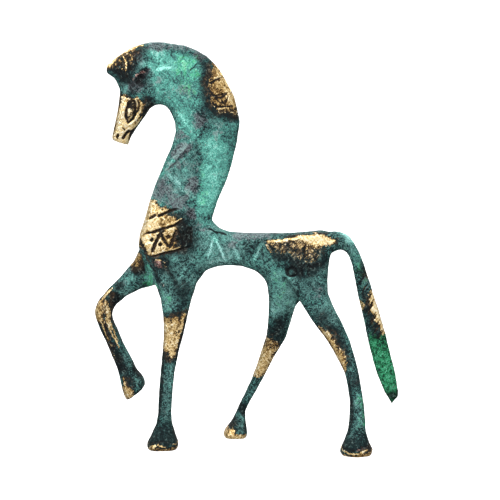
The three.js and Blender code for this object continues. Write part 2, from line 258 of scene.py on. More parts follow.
def depth_inside(outline: Path, places: np.ndarray) -> np.ndarray:
    """Measures how far places lie inside a closed outline, and below zero outside it."""
    corners = np.array(outline, float)
    inside = np.zeros(len(places), bool)
    gap = np.full(len(places), np.inf)
    for start, end in zip(corners, np.roll(corners, -1, axis=0)):
        span = end - start
        share = np.clip((places - start) @ span / max(span @ span, TINY), 0.0, 1.0)
        gap = np.minimum(gap, np.linalg.norm(places - start - share[:, None] * span, axis=1))
        level = (start[1] > places[:, 1]) != (end[1] > places[:, 1])
        rise = span[1] if span[1] else 1.0
        inside ^= level & (places[:, 0] < start[0] + span[0] * (places[:, 1] - start[1]) / rise)
    return np.where(inside, gap, -gap)


@dataclass(frozen=True)
class Chisel:
    """The cut of one tool, in metres: its width at the surface, its depth and its raised lips."""

    width: float
    depth: float
    lip: float

    def press(self, gap: np.ndarray, along: np.ndarray, closed: bool) -> tuple[np.ndarray, np.ndarray]:
        """Works out the groove and the lips beside it.

        Args:
            gap: How far each vertex lies from the line, in metres.
            along: How far along the line it lies.
            closed: Whether the line comes back to its start, so that it has no tips.

        Returns:
            The groove, 1 at its bottom, and the lips, 1 at their tops.
        """
        flat, lip_at, lip_spread = 0.15, 1.3, 0.38
        tip = 1.0 if closed else tapered(along, 0.35, 0.12)
        share = gap / (self.width / 2 * tip)
        groove = 1.0 - smooth_step(flat, 1.0, share)
        lips = np.exp(-(((share - lip_at) / lip_spread) ** 2))
        return groove * tip, lips * tip


@dataclass(frozen=True)
class Mark:
    """One chiselled line of the ornament."""

    path: Path
    chisel: Chisel
    filling: Filling = Filling.SOOT
    far: bool = True

    @property
    def closed(self) -> bool:
        """Tells whether the line comes back to its start."""
        return bool(np.allclose(self.path[0], self.path[-1]))


BROAD = Chisel(width=1.25 * MILLIMETRE, depth=0.55 * MILLIMETRE, lip=0.1 * MILLIMETRE)
BOLD = Chisel(width=0.95 * MILLIMETRE, depth=0.42 * MILLIMETRE, lip=0.1 * MILLIMETRE)
FINE = Chisel(width=0.75 * MILLIMETRE, depth=0.26 * MILLIMETRE, lip=0.09 * MILLIMETRE)
SCRATCH = Chisel(width=0.6 * MILLIMETRE, depth=0.16 * MILLIMETRE, lip=0.08 * MILLIMETRE)
SHALLOW = Chisel(width=1.3 * MILLIMETRE, depth=0.25 * MILLIMETRE, lip=0.12 * MILLIMETRE)
DRILL = Chisel(width=2.0 * MILLIMETRE, depth=0.6 * MILLIMETRE, lip=0.05 * MILLIMETRE)
WIDE = Chisel(width=1.6 * MILLIMETRE, depth=0.55 * MILLIMETRE, lip=0.1 * MILLIMETRE)


@dataclass(frozen=True)
class Ridge:
    """An edge between two facets of a limb, by its line, its height and its reach in millimetres."""

    path: Path
    height: float
    reach: float

    def rise(self, gap: np.ndarray, along: np.ndarray) -> np.ndarray:
        """Works out how far the ridge stands out at each gap from its line, all in metres."""
        reach = self.reach * MILLIMETRE
        rounding = 0.12 * reach
        slope = np.clip(1.0 - np.sqrt(gap**2 + rounding**2) / reach, 0.0, 1.0)
        return self.height * MILLIMETRE * slope * tapered(along, 0.0, 0.2)


RIDGES = (
    Ridge(((-35.2, 35.8), (-34.6, 32.6), (-32.6, 27), (-30.7, 21.4)), 0.45, 2.0),
    Ridge(((-29, 45.5), (-33, 41), (-35.2, 36.6)), 0.3, 1.8),
    Ridge(((-13.2, 38.5), (-14.6, 33.5), (-16.6, 26.5), (-18.2, 17), (-18.6, 8)), 0.5, 2.0),
    Ridge(((-25.4, 50), (-22.4, 44), (-21, 40)), 0.4, 1.6),
    Ridge(((9.4, 37), (8.6, 29), (6.4, 23.2), (3.2, 15.4), (-0.4, 8)), 0.45, 2.0),
    Ridge(((19.5, 37), (23.6, 30), (26.3, 22), (27.3, 12), (27.4, 6.5)), 0.35, 2.2),
    Ridge(((11.5, 52.2), (16, 52.9), (21, 52.6)), 0.3, 1.8),
    Ridge(((30.2, 40), (32.4, 33), (34.6, 24), (36.8, 15)), 0.3, 2.2),
)


@dataclass(frozen=True)
class Ornament:
    """The chiselled ornament, at the same places of the grid as in the solid."""

    band_top: Path = ((-24.8, 53.7), (-22.6, 54.3), (-20.1, 55.2), (-17.9, 55.8), (-15, 57.4))
    band_foot: Path = ((-23.4, 48.2), (-19.7, 49.1), (-16.5, 50), (-13.1, 51.2))
    band_end: Path = ((-13.3, 55.8), (-13.6, 51.4))
    chest_zigzag: Path = (
        (-23.1, 49.2),
        (-21.2, 54.1),
        (-18.6, 50.4),
        (-17, 54.9),
        (-15.1, 50.8),
        (-13.8, 55.8),
    )
    collar: Path = ((-21.6, 57.9), (-19.4, 59), (-16.7, 60.1))
    collar_nick: Path = ((-23.8, 57.5), (-21.9, 58.4))
    neck_zigzag: Path = ((-18.4, 86.3), (-10.6, 76), (-19.3, 69), (-14, 61.9))
    barrel_from: float = -11.4
    barrel_step: float = 3.0
    barrel_folds: int = 6
    barrel_foot: float = 46.9
    barrel_top: float = 51.8
    mane_front: tuple[Path, ...] = (
        ((-31.5, 94.4), (-29.8, 91.5)),
        ((-30.4, 95.3), (-28.4, 91.5)),
        ((-28.8, 96.4), (-27.3, 92.9)),
        ((-27, 97.3), (-26.2, 94.6)),
    )
    mane_top: tuple[Path, ...] = (
        ((-23.2, 98.4), (-22.6, 95.7)),
        ((-20.8, 98.8), (-20.9, 92.6)),
        ((-17.4, 98.4), (-17.8, 96.2)),
        ((-14.4, 97.4), (-15.7, 95.3)),
        ((-11, 95.2), (-13.6, 93)),
    )
    mane_back: tuple[Path, ...] = (
        ((-6.3, 91.6), (-9.1, 90.3)),
        ((-4.4, 87.9), (-7.6, 87.1)),
        ((-4.4, 84.5), (-7.6, 84.7)),
    )
    mane_foot: tuple[Path, ...] = (
        ((-2.8, 80.7), (-5.7, 81.4)),
        ((-3.3, 76.8), (-6, 77.5)),
    )
    forelock: tuple[Path, ...] = (
        ((-32.6, 93.4), (-30.8, 92.2)),
        ((-29.4, 96.6), (-28, 94.6)),
    )
    crest_nicks: tuple[Path, ...] = (
        ((-6.7, 86.8), (-5.3, 84.9), (-4.3, 87.5)),
        ((-13.6, 93.1), (-11.9, 95)),
    )
    faint_nicks: tuple[Path, ...] = (
        ((-14.8, 95.9), (-13.6, 94)),
        ((-7.2, 93.4), (-5.4, 92.2)),
        ((-5.6, 89.7), (-4, 88.6)),
    )
    eye: Loop = Loop((-25.1, 92), reach=3.1, width=1.2, lean=46, sharpness=2)
    pupil: Place = (-25.2, 91.8)
    cheek: Loop = Loop((-27.75, 83.4), reach=2.7, width=1.15, lean=76, sharpness=1.5)
    jaw: Loop = Loop((-25.5, 84.2), reach=1.9, width=0.6, lean=78, sharpness=2)
    mouth: Path = ((-30.2, 76.5), (-29.3, 77.5), (-27.8, 79))
    nostril: Path = ((-31.6, 77.1), (-31, 78.2))
    lip_scratch: Path = ((-29.8, 79.6), (-28.9, 78.8))
    neck_ring: Loop = Loop((-14.8, 88.2), reach=1.05, width=1.05)
    temple_ring: Loop = Loop((-20.5, 90.7), reach=0.8, width=0.6)
    rump_ring: Loop = Loop((11, 44.3), reach=1.05, width=1.05)
    rump_strokes: tuple[Path, ...] = (
        ((13.4, 46.6), (13.7, 43.2)),
        ((15.1, 46.6), (15.1, 43.6)),
        ((14.1, 51.1), (14.1, 47.8)),
    )
    back_crease: Path = ((-9.5, 55.2), (-8, 54.5), (-6.8, 54), (-4.4, 53.2))
    thigh_crease: Path = ((9, 43.1), (11, 40.6), (13.2, 37.6))
    tail_from: Place = (29, 43.6)
    tail_to: Place = (27.4, 41)
    tail_step: Place = (0.75, -2.55)
    tail_count: int = 10
    tail_deep: int = 6

    def barrel_zigzag(self) -> Path:
        """Gives the barrel's even zigzag."""
        heights = (self.barrel_foot, self.barrel_top)
        corners = range(self.barrel_folds + 1)
        return tuple((self.barrel_from + self.barrel_step * i, heights[i % 2]) for i in corners)

    def tail_strokes(self) -> tuple[Path, ...]:
        """Gives the even slanted strokes down the tail."""
        ends = np.array((self.tail_from, self.tail_to))
        steps = (ends + np.array(self.tail_step) * i for i in range(self.tail_count))
        return tuple(tuple(map(tuple, pair)) for pair in steps)

    def marks(self) -> list[Mark]:
        """Lists every chiselled line of the horse."""
        near_only = {"far": False}
        marks = [Mark(curved(line), BROAD) for line in (self.band_top, self.band_foot)]
        marks += [Mark(line, WIDE) for line in (self.band_end, *folds(self.chest_zigzag))]
        marks += [Mark(curved(line), BROAD) for line in (self.collar, self.mouth)]
        marks += [Mark(line, BROAD) for line in (self.collar_nick, self.nostril)]
        marks += [Mark(self.cheek.ring(), BROAD), Mark(self.jaw.ring(), FINE, Filling.BARE)]
        marks += [Mark(line, FINE) for line in (*self.mane_front, *self.mane_back)]
        marks += [Mark(line, SHALLOW, Filling.BARE) for line in (*self.mane_top, *self.mane_foot)]
        marks += [Mark(line, SCRATCH) for line in (*self.forelock, *self.crest_nicks, self.lip_scratch)]
        marks += [Mark(line, SCRATCH, Filling.BARE) for line in self.faint_nicks]
        marks += [Mark(line, SHALLOW, Filling.VERDIGRIS) for line in folds(self.neck_zigzag)]
        marks += [Mark(line, SHALLOW, Filling.VERDIGRIS) for line in folds(self.barrel_zigzag())]
        marks += [Mark(self.rump_ring.ring(), BOLD, **near_only)]
        rings = (self.neck_ring, self.temple_ring)
        marks += [Mark(ring.ring(), SCRATCH, Filling.BARE, **near_only) for ring in rings]
        marks += [Mark(line, BOLD, **near_only) for line in self.rump_strokes]
        marks += [Mark(curved(self.back_crease), FINE)]
        marks += [Mark(curved(self.thigh_crease), SHALLOW, Filling.BARE, **near_only)]
        strokes = self.tail_strokes()
        marks += [Mark(line, FINE) for line in strokes[: self.tail_deep]]
        marks += [Mark(line, SCRATCH, Filling.BARE) for line in strokes[self.tail_deep :]]
        return marks

    def dots(self) -> Path:
        """Lists the drilled dots."""
        return (*middles((self.band_top[0], *self.chest_zigzag)), self.pupil)


@dataclass(frozen=True)
class Patch:
    """A part of the side view that takes one finish.

    Its spread is a length in grid units, its strength the finish's height in its middle, and far the
    share of that on the hidden flank.
    """

    line: Path
    spread: float = 1.0
    strength: float = 1.0
    far: float = 1.0

    def cover(self, places: np.ndarray) -> np.ndarray:
        """Tells how fully the patch covers each place, from 0 to 1."""
        raise NotImplementedError

    def places_on(self, skin: Skin) -> np.ndarray:
        """Gives the places of the skin's vertices, strayed as this patch's edge is."""
        raise NotImplementedError

    def weight(self, skin: Skin) -> np.ndarray:
        """Works out how strongly the patch lies on each vertex.

        Args:
            skin: The casting's vertices.

        Returns:
            The finish's height at each vertex.
        """
        places = self.places_on(skin)
        corners = np.array(self.line)
        low = corners.min(axis=0) - self.spread
        high = corners.max(axis=0) + self.spread
        rows = np.flatnonzero(((places > low) & (places < high)).all(axis=1))
        weight = np.zeros(len(places))
        near = skin.near[rows]
        weight[rows] = self.cover(places[rows]) * self.strength * (near + (1.0 - near) * self.far)
        return weight


@dataclass(frozen=True)
class Zone(Patch):
    """A patch with a closed outline, which fades over its spread on either side of it."""

    def cover(self, places: np.ndarray) -> np.ndarray:
        """Tells how fully the zone covers each place, from 0 to 1."""
        return np.clip(0.5 + depth_inside(self.line, places) / (2 * self.spread), 0.0, 1.0)

    def places_on(self, skin: Skin) -> np.ndarray:
        """Gives places with a ragged drift, so that no edge runs straight."""
        return skin.ragged


@dataclass(frozen=True)
class Stroke(Patch):
    """A patch along a line, which thins out towards its ends and fades out over its spread."""

    def cover(self, places: np.ndarray) -> np.ndarray:
        """Tells how fully the stroke covers each place, from 0 to 1."""
        core = 0.35
        gap, along = gap_to(curved(self.line, 4), places)
        return 1.0 - smooth_step(core, 1.0, gap / (self.spread * tapered(along, 0.3, 0.2)))

    def places_on(self, skin: Skin) -> np.ndarray:
        """Gives places with the light drift of a drawn line."""
        return skin.drawn


# where the patina is rubbed through to the bronze
RUBBED = (
    # the crest's front, brown gold in the middle and bright along the rim
    Zone(((-34.2, 93.2), (-31.6, 96.4), (-28.2, 98.8), (-26.2, 99.4), (-26.4, 96), (-27.4, 93),
          (-29.4, 91.8), (-31.8, 92.4), (-33.6, 93)), 0.6, 0.25),
    Stroke(((-33.9, 93.2), (-33, 94.3), (-31.6, 95.8), (-29.9, 97.1), (-28.2, 98), (-26.5, 98.8),
            (-24.6, 99.4)), 0.32, 1.1),
    # the muzzle
    Zone(((-30.4, 87.4), (-28.6, 87), (-27.6, 86.4), (-26.4, 86.6), (-25.2, 85.9), (-24.6, 84.8),
          (-25.2, 83.2), (-26.5, 80.9), (-27.7, 79), (-28.2, 74), (-34, 74), (-33.6, 79),
          (-32.4, 83)), 0.35, 1.24),
    # the crest's back: brown streaks inside, bright along the rim
    Zone(((-7.4, 96.6), (-7.8, 93.4), (-8.8, 91.4), (-9.2, 89.6), (-8.8, 87.6), (-8.4, 85.4),
          (-6.8, 84.5), (-4, 84), (-0.5, 84), (-1.8, 90), (-4, 94)), 0.9, 0.9),
    Zone(((-7.4, 97), (-7.2, 93.6), (-6.6, 91.4), (-6.6, 88.6), (-5.6, 86.6), (-4.4, 84.6), (-0.4, 84.2),
          (-0.4, 87.4), (-2, 92), (-4, 95.4)), 1.1, 0.98),
    Zone(((-7.4, 97), (-6, 93.4), (-4.8, 90.6), (-3.6, 87.4), (-3.2, 85), (-0.4, 84.6), (-0.4, 88),
          (-2.6, 92.6), (-4.4, 95.4)), 0.8, 1.2),
    Zone(((-7, 85), (-0.6, 85), (-0.8, 82.8), (-4.6, 82.6), (-7, 83.4)), 0.5, 0.34),
    # the chest: above the collar, above the band and inside it
    Zone(((-24.4, 61.9), (-22.6, 61.8), (-21.6, 61.3), (-20.8, 60.4), (-19.5, 60.1), (-18.7, 59.6),
          (-21.4, 58.3), (-24.6, 57.4)), 0.4, 0.98),
    Zone(((-25.6, 58.4), (-22, 58.5), (-20.8, 58.3), (-19.4, 58.5), (-17.6, 57.8), (-16.4, 57),
          (-18.4, 55.6), (-22, 54.2), (-27, 53.4)), 0.4, 0.84),
    Zone(((-27, 58), (-22, 58.2), (-20.4, 57.4), (-20.4, 55.4), (-23, 54.2), (-28, 53.6)), 0.8, 1.18),
    Zone(((-28, 54), (-22, 54.4), (-18.5, 56), (-17.2, 56.5), (-16.9, 54.8), (-17.5, 52.6), (-17.3, 50.4),
          (-20, 49.5), (-23.6, 48.5), (-25, 50.4)), 0.5, 0.8),
    Zone(((-28, 54), (-21.4, 54.2), (-20, 53), (-20.6, 50), (-23.4, 48.7), (-25.1, 50.6)), 0.8, 1.14),
    Zone(((-17.4, 51.8), (-16, 51.6), (-15.4, 50.6), (-17.4, 50)), 0.5, 0.44),
    Zone(((-21, 47.4), (-19.2, 47.4), (-18.6, 46.2), (-20.4, 45.4)), 0.5, 0.3),
    Zone(((-17, 56), (-13.4, 55.4), (-13, 51.6), (-15.6, 50.6), (-17.6, 50.6)), 0.5, 0.2),
    # the raised leg's root, its knee, its shin and its hoof
    Zone(((-27, 48.4), (-25.9, 48), (-25.9, 46.6), (-26.6, 45.8), (-27.8, 45.2), (-29, 45.4),
          (-28, 47)), 0.35, 0.86),
    Zone(((-38, 34), (-37, 36), (-35.9, 36.6), (-35.6, 34.4), (-35.6, 32), (-35.1, 30.4), (-36.4, 30.4),
          (-38, 32)), 0.4, 1.0),
    Zone(((-35.2, 36.4), (-34.2, 35.8), (-33.8, 33.6), (-33.7, 31.4), (-33.4, 29), (-34, 29.6),
          (-34.7, 31.6), (-35.2, 33.6)), 0.4, 1.05),
    Zone(((-36.8, 31.4), (-35, 31), (-33.8, 28), (-32.6, 24.8), (-31.8, 21), (-33, 20.6), (-34.8, 25),
          (-36, 28)), 0.6, 0.2),
    Stroke(((-36.2, 36), (-34.8, 37.6), (-33.2, 39.4)), 0.4, 1.15),
    Zone(((-31, 14.2), (-29.6, 14.3), (-28.5, 14), (-27.8, 13), (-28.6, 11.4), (-31, 11)), 0.35, 0.9),
    Stroke(((-30.7, 16.8), (-30.4, 15.2), (-30, 13.6)), 0.3, 0.9),
    # the standing foreleg and its hoof's rim
    Zone(((-20.8, 33.2), (-19, 32.7), (-17.6, 33.3), (-16.2, 33.2), (-15.1, 34.4), (-15.3, 32.4),
          (-15.9, 29.8), (-16.9, 26.4), (-17.6, 23.6), (-18.2, 22.8), (-19, 23.8),
          (-20.6, 24.6)), 0.45, 0.9),
    Zone(((-25.5, 1.2), (-22, 1.1), (-20.5, 0.7), (-16, 1), (-16, -1), (-25.5, -1)), 0.3, 0.6),
    # the far hind leg and its hoof
    Zone(((4.8, 27), (6.4, 26.4), (8, 25.4), (7.6, 23.6), (4.4, 23.4)), 0.8, 0.6),
    Zone(((4, 24.4), (6.4, 24), (8, 24.2), (6.9, 22), (5.5, 19.2), (3.9, 16.5), (1.4, 16.4), (2.2, 19),
          (3.4, 22.4)), 0.6, 0.9),
    Zone(((-6.5, 2.9), (-5.2, 2.7), (-4.3, 1.9), (-3.6, 2.4), (-2.8, 1.2), (-1.8, 1.3), (-0.4, 0.9),
          (-0.2, -1), (-6.5, -1)), 0.35, 0.84),
    # the near hind leg's front, thin above and wide below, and its hoof's rim
    Zone(((17.6, 31.2), (19.6, 30.4), (20.8, 29.2), (22.2, 27.4), (23.2, 25.6), (23.8, 24), (24.2, 22.4),
          (24, 20.8), (22, 20.6), (18, 27)), 0.7, 0.5),
    Stroke(((18.2, 30.8), (19.8, 28.6), (21.2, 26.6), (22.5, 24.4), (23.5, 22.2),
            (24.1, 20.4)), 0.6, 1.1),
    Zone(((21.8, 26.2), (22.8, 26), (23.7, 24.2), (24.2, 22.6), (23.9, 21), (22.8, 21.8),
          (21.2, 24.8)), 0.45, 0.9),
    Stroke(((19.4, 30.2), (20.6, 28.6), (21.6, 27.2)), 0.35, 0.85),
    Zone(((27.4, 0.6), (29.6, 1.2), (32, 1.8), (32, -1.4), (27, -1.4)), 0.35, 0.84),
    Zone(((22, 0.3), (27.5, 0.35), (27.5, -1.4), (22, -1.4)), 0.3, 0.58),
    # the tail's outer edge, notched by the strokes, and specks inside
    Zone(((30.5, 39.2), (32.6, 39.2), (35.6, 30.6), (35.4, 28), (33.8, 28.2), (32.9, 29.9), (32.2, 31.3),
          (31.4, 32.7), (30.9, 34.2), (30, 36.4)), 0.35, 1.3),
    Zone(((29.2, 44), (31, 43.4), (31.4, 41), (29.6, 42.4)), 0.4, 0.5),
    Zone(((26.8, 37), (28.3, 36.6), (28.8, 35), (27.6, 33.8)), 0.35, 0.72),
    # the rump: speckled in front, bright behind, with the bulge under it
    Zone(((4.4, 52), (9.3, 52.4), (11.8, 52.7), (14.2, 53), (17, 53.2), (19, 51), (18.2, 49.9),
          (17.9, 47.6), (15.7, 46.6), (13.7, 46.8), (10.8, 47.3), (10.4, 49.1), (6, 48.9),
          (4.8, 50)), 0.4, 0.26),
    Zone(((11, 51.6), (15, 52.4), (19, 51.4), (18.2, 49.9), (16.4, 49.4), (12.6, 50)), 0.6, 0.4),
    Stroke(((5, 51.9), (7.9, 52), (10.5, 52.4), (13.7, 52.8), (16.6, 53.3)), 0.44, 1.1),
    Zone(((12.6, 52.2), (14.6, 52.9), (17, 53.3), (18.9, 52.8), (20, 52.6), (21, 52.2), (21.1, 51.4),
          (20.4, 50.9), (19, 50.8), (17.2, 50.6), (15.4, 51.4)), 0.36, 1.3),
)

# where the bare bronze has browned
TARNISH = (
    # the crest, the muzzle, the rump, the chest's right side and the legs
    Zone(((-33.4, 93.9), (-31.4, 95.8), (-28, 98), (-26, 98.4), (-26, 95), (-27.4, 92.4), (-29.4, 91),
          (-33.6, 92.4)), 0.5, 0.58),
    Zone(((-28, 87.8), (-26, 87.6), (-25, 86), (-24.4, 84.8), (-25.8, 82), (-26.2, 83.2), (-25.6, 85),
          (-26.2, 86.2), (-27.6, 86.4)), 0.3, 0.34),
    Zone(((4.6, 51.4), (12.6, 50.9), (17.8, 50.4), (18.4, 47), (13.7, 46.2), (10.6, 47), (10.4, 49),
          (4.8, 49)), 0.7, 0.3),
    Zone(((-17, 56), (-13.4, 55.4), (-13, 51.6), (-17.6, 50.6)), 0.5, 0.34),
    Zone(((-20.8, 33.4), (-15, 34.4), (-15.6, 31.8), (-20.6, 31.6)), 0.5, 0.3),
    Zone(((-20.6, 32), (-16, 32), (-17.6, 23.6), (-20.6, 24)), 0.5, 0.05),
    Zone(((-8.2, 95), (-6.4, 92), (-5.6, 89), (-4.6, 86.4), (-3, 84), (-7, 84), (-9.6, 86.4),
          (-10, 91)), 1.7, 0.46),
    Zone(((-21.4, 57.8), (-17.6, 58.2), (-16.2, 57), (-18, 55.6), (-21, 55.4)), 0.7, 0.26),
    Zone(((-20, 53.8), (-16.8, 55), (-16.8, 50), (-20.4, 49.4)), 0.8, 0.2),
    Zone(((-28, 48.8), (-25.4, 48), (-25.8, 45), (-29.6, 45)), 0.5, 0.3),
    Zone(((-38, 36), (-35.6, 36.6), (-35.3, 32), (-34.4, 29), (-32, 22), (-34, 20),
          (-36.6, 28)), 0.5, 0.28),
    Zone(((-31.4, 18), (-29.3, 17), (-28.4, 13.4), (-31, 13)), 0.5, 0.2),
    Zone(((4.6, 26.6), (9, 26), (7, 22.4), (4, 22)), 0.8, 0.3),
    Zone(((17.6, 31.2), (23.8, 26), (24.8, 20), (22, 20)), 0.8, 0.22),
    Zone(((-26, 1.4), (-16, 1.4), (-16, -1), (-26, -1)), 0.4, 0.36),
    Zone(((22, 1.4), (32, 2), (32, -1.6), (22, -1.6)), 0.4, 0.3),
    Zone(((-6.6, 3.4), (0, 2.2), (0.4, 1), (-6.6, 1.6)), 0.6, 0.3),
)

# black lines and spots over the bare bronze, with painted shade and shadow at some edges
STAINS_AND_PAINTED_SHADE = (
    # the forelock's strokes and the dark under the rim
    Stroke(((-31.3, 95.2), (-30.7, 94.4), (-29.6, 92.4)), 0.42, 1.0),
    Stroke(((-29.3, 96.4), (-28.6, 95.2), (-28, 92.8)), 0.45, 1.0),
    Stroke(((-31.8, 93.7), (-30.4, 92.4), (-29.2, 91.4)), 0.5, 1.0),
    Stroke(((-32.9, 94.2), (-32.3, 93.4), (-31.6, 93)), 0.35, 0.8),
    Stroke(((-29.2, 96.5), (-27.8, 97), (-26.2, 97.8), (-24.4, 98.4)), 0.4, 0.9),
    # the muzzle's edges, darkened with painted shade where they turn away and with a painted shadow under
    # the jaw, its loops and its lips
    Stroke(((-30, 88.4), (-30.4, 86.2), (-31, 83.6), (-31.6, 81), (-32.2, 78)), 0.42, 0.95),
    Stroke(((-23.4, 86.4), (-24.3, 83.9), (-25.6, 81.7), (-26.8, 80)), 0.75, 1.0),
    Stroke(((-26.6, 80.2), (-27.4, 78.8), (-28, 77.2), (-28.3, 75.8)), 0.45, 0.9),
    Zone(((-28.7, 85.8), (-27.5, 86.2), (-26.9, 84.8), (-27.2, 82.8), (-28.2, 81.2), (-29, 82),
          (-29, 84)), 0.34, 1.0),
    Stroke(((-26.6, 86.6), (-25.85, 85.7), (-25.7, 84.8), (-25.95, 83.7), (-26.6, 82.9)), 0.26, 1.0),
    Stroke(((-27, 86.2), (-26.8, 85), (-27, 83.6), (-27.3, 82.4)), 0.34, 0.85),
    Stroke(((-28, 79), (-29, 77.7), (-30.2, 76.4)), 0.55, 1.0),
    Stroke(((-31, 77.9), (-31.4, 76.8)), 0.5, 1.0),
    Stroke(((-29.2, 87.2), (-28.2, 86.8), (-27.4, 86.2)), 0.35, 0.8),
    Zone(((-29.8, 79.9), (-29, 79.4), (-29.2, 78.8), (-30, 79.3)), 0.3, 0.62),
    # the streaks across the crest's back
    Stroke(((-9, 90), (-7.6, 90.8), (-6.2, 91.5)), 0.36, 1.0),
    Stroke(((-9, 88), (-7.6, 86.9), (-6, 86.9), (-4.6, 87.8)), 0.4, 0.95),
    Stroke(((-8.4, 85.6), (-6.6, 84.7), (-4.6, 84.5), (-3, 84.9)), 0.4, 0.95),
    Stroke(((-7, 86.2), (-6, 85.4), (-5, 86.4)), 0.35, 0.7),
    # the chest's dark end and the shadow over the collar
    Zone(((-17.1, 56.8), (-15.6, 57), (-14.4, 55.8), (-13.8, 53), (-14.4, 50.8), (-17, 50.2),
          (-17.6, 52.6), (-17, 55)), 0.6, 0.6),
    Stroke(((-25.9, 52.6), (-25.1, 50.5), (-24, 48.5)), 0.55, 0.9),
    Zone(((-21.7, 54.8), (-20.2, 55.2), (-20.4, 52.8), (-21.2, 52.6)), 0.3, 0.9),
    Stroke(((-23.1, 49.4), (-22.4, 50.8), (-21.5, 53)), 0.55, 1.0),
    Stroke(((-23.5, 62), (-24.5, 59.2), (-25.3, 56.4), (-26, 54)), 0.34, 0.9),
    # the raised leg
    Stroke(((-33.9, 37.8), (-34.6, 35.6), (-35, 33.4), (-34.8, 31.4)), 0.45, 0.45),
    Stroke(((-26.6, 46.8), (-26.3, 46)), 0.35, 0.9),
    Stroke(((-30.2, 14.6), (-29, 14.3), (-27.9, 14.4)), 0.35, 0.9),
    # the foreleg's facet and the tail's strokes
    Stroke(((-14.2, 35), (-15.1, 31.2), (-16.2, 27), (-17.3, 23.2)), 0.75, 0.95),
    Stroke(((-22.2, 1), (-20.4, 0.7), (-18.4, 0.9), (-17, 0.9)), 0.3, 0.75),
    Stroke(((-16, 33.2), (-16.5, 31), (-17.1, 28.6)), 0.6, 0.42),
    Stroke(((-18.8, 33), (-18.6, 31.4), (-18.7, 30)), 0.4, 0.4),
    Stroke(((31.1, 36.9), (30.4, 35.5), (29, 33.8)), 0.42, 1.0),
    Stroke(((31.8, 33.9), (30.9, 32.4), (30.2, 31)), 0.36, 0.9),
    Stroke(((32.6, 31.9), (31.8, 30.6), (31, 29.4)), 0.36, 0.9),
    Stroke(((30, 36.9), (29.3, 35.4), (28.8, 34.2)), 0.45, 0.9),
    Stroke(((33.6, 29.6), (32.9, 28.4), (32.3, 27)), 0.4, 0.9),
    # the strip over the rump, its groove and the near hind leg's brown middle
    Stroke(((9, 52.9), (12, 53.2), (15, 53.6), (17.4, 54.1)), 0.28, 0.9),
    Stroke(((17.2, 53.6), (18.6, 53.5), (20, 53.6)), 0.36, 1.0),
    Stroke(((13.9, 51), (13.8, 49), (13.9, 46.9)), 0.26, 1.0),
    Stroke(((10.6, 47.4), (12.4, 46.9), (14.2, 46.5), (16.2, 46.5), (18, 46.9)), 0.42, 1.0),
    Zone(((20.4, 29), (21.6, 28.8), (23, 27), (23.6, 25.6), (22.6, 25.2), (21.4, 26.8)), 0.4, 0.55),
    Zone(((21.3, 52.4), (22.3, 52.4), (22.3, 51), (21.2, 51.2)), 0.3, 0.7),
)

# bright lines in the black: some are gilt lines rubbed through to the bronze, others painted highlights
# along rims, lips and ridges
HIGHLIGHTS_AND_GILT_LINES = (
    # the gilt lines of the forelock, and the rim over them, rubbed bronze with a painted highlight along
    # it
    Stroke(((-31.9, 95.2), (-31.4, 94.4), (-30.8, 93.4)), 0.24, 0.6),
    Stroke(((-30.6, 96), (-30.1, 94.8), (-29.6, 93.2)), 0.26, 0.75),
    Stroke(((-29.7, 96.8), (-29, 95.4), (-28.7, 93)), 0.27, 0.9),
    Stroke(((-33, 94.7), (-32.7, 94.1), (-32.4, 93.4)), 0.24, 0.6),
    Stroke(((-28, 97.2), (-27.4, 96), (-27.2, 94.6)), 0.26, 0.5),
    Stroke(((-34.2, 93.2), (-33.1, 94.4), (-31.6, 95.9), (-29.9, 97.2), (-28.2, 98.1),
            (-26.5, 98.9)), 0.3, 1.0),
    # the muzzle: a painted highlight on its boss, the stroke over the loops and the jaw's light edge
    Stroke(((-28.5, 82.2), (-28.2, 83.2), (-27.9, 84.2)), 0.5, 1.1),
    Stroke(((-26.4, 85.9), (-26.3, 84.8), (-26.45, 83.8)), 0.32, 1.0),
    Stroke(((-25.9, 86.7), (-25.25, 85.5), (-25.15, 84.5), (-25.6, 83.3), (-26.2, 82.5)), 0.27, 0.95),
    Stroke(((-27.3, 86.1), (-26.7, 86.6), (-26.1, 87.1)), 0.35, 0.9),
    Stroke(((-25.1, 82.2), (-26.4, 80.5), (-27.7, 79.1)), 0.3, 0.9),
    # the crest's back, with a painted highlight along its rim
    Stroke(((-8.6, 90.6), (-7.4, 91.3), (-6, 92.1)), 0.3, 0.85),
    Stroke(((-7, 84.3), (-4.8, 84.1), (-3.2, 84.4)), 0.25, 0.8),
    Stroke(((-8.6, 96.8), (-7, 95.7), (-4.6, 93), (-2.6, 89.6), (-1.2, 86.4)), 1.1, 0.85),
    # painted highlights on the lips of the chest's band
    Stroke(((-23.2, 48.9), (-21, 49.4), (-18, 50.1), (-16.2, 50.6)), 0.32, 1.0),
    Stroke(((-22.4, 47.6), (-21.6, 47.5), (-20.8, 47.2)), 0.22, 0.6),
    Stroke(((-18.8, 56.1), (-17.4, 56.7), (-15.6, 57.5)), 0.28, 0.95),
    # the gilt lines down the raised shin
    Stroke(((-35, 32), (-34.2, 29.6), (-33.3, 27.6), (-32.4, 25.8), (-31.6, 24)), 0.22, 1.0),
    Stroke(((-33.8, 31.6), (-33.4, 29.6), (-32.7, 27.6), (-31.8, 25.6)), 0.18, 0.7),
    Stroke(((-36.3, 31.8), (-35.8, 30), (-35, 27.8), (-34, 25.4)), 0.22, 0.8),
    # the far hind leg's streak
    Stroke(((5.9, 25.2), (4.4, 21.8), (2.7, 18.4)), 0.3, 0.6),
    # a painted highlight on the foreleg's ridge beside its facet
    Stroke(((-15.3, 34.4), (-15.8, 31.2), (-16.9, 27), (-17.8, 24)), 0.3, 0.75),
    # painted highlights along the hooves' rims
    Stroke(((-23.7, 1.4), (-21.8, 1.5), (-19.9, 1.1)), 0.26, 0.85),
    Stroke(((-18.4, 1.4), (-16.8, 1.6)), 0.22, 0.5),
    Stroke(((22.9, 1.8), (24, 1.2), (25.9, 0.8), (27.4, 1), (28.6, 1.5), (29.8, 2.2)), 0.28, 1.0),
)

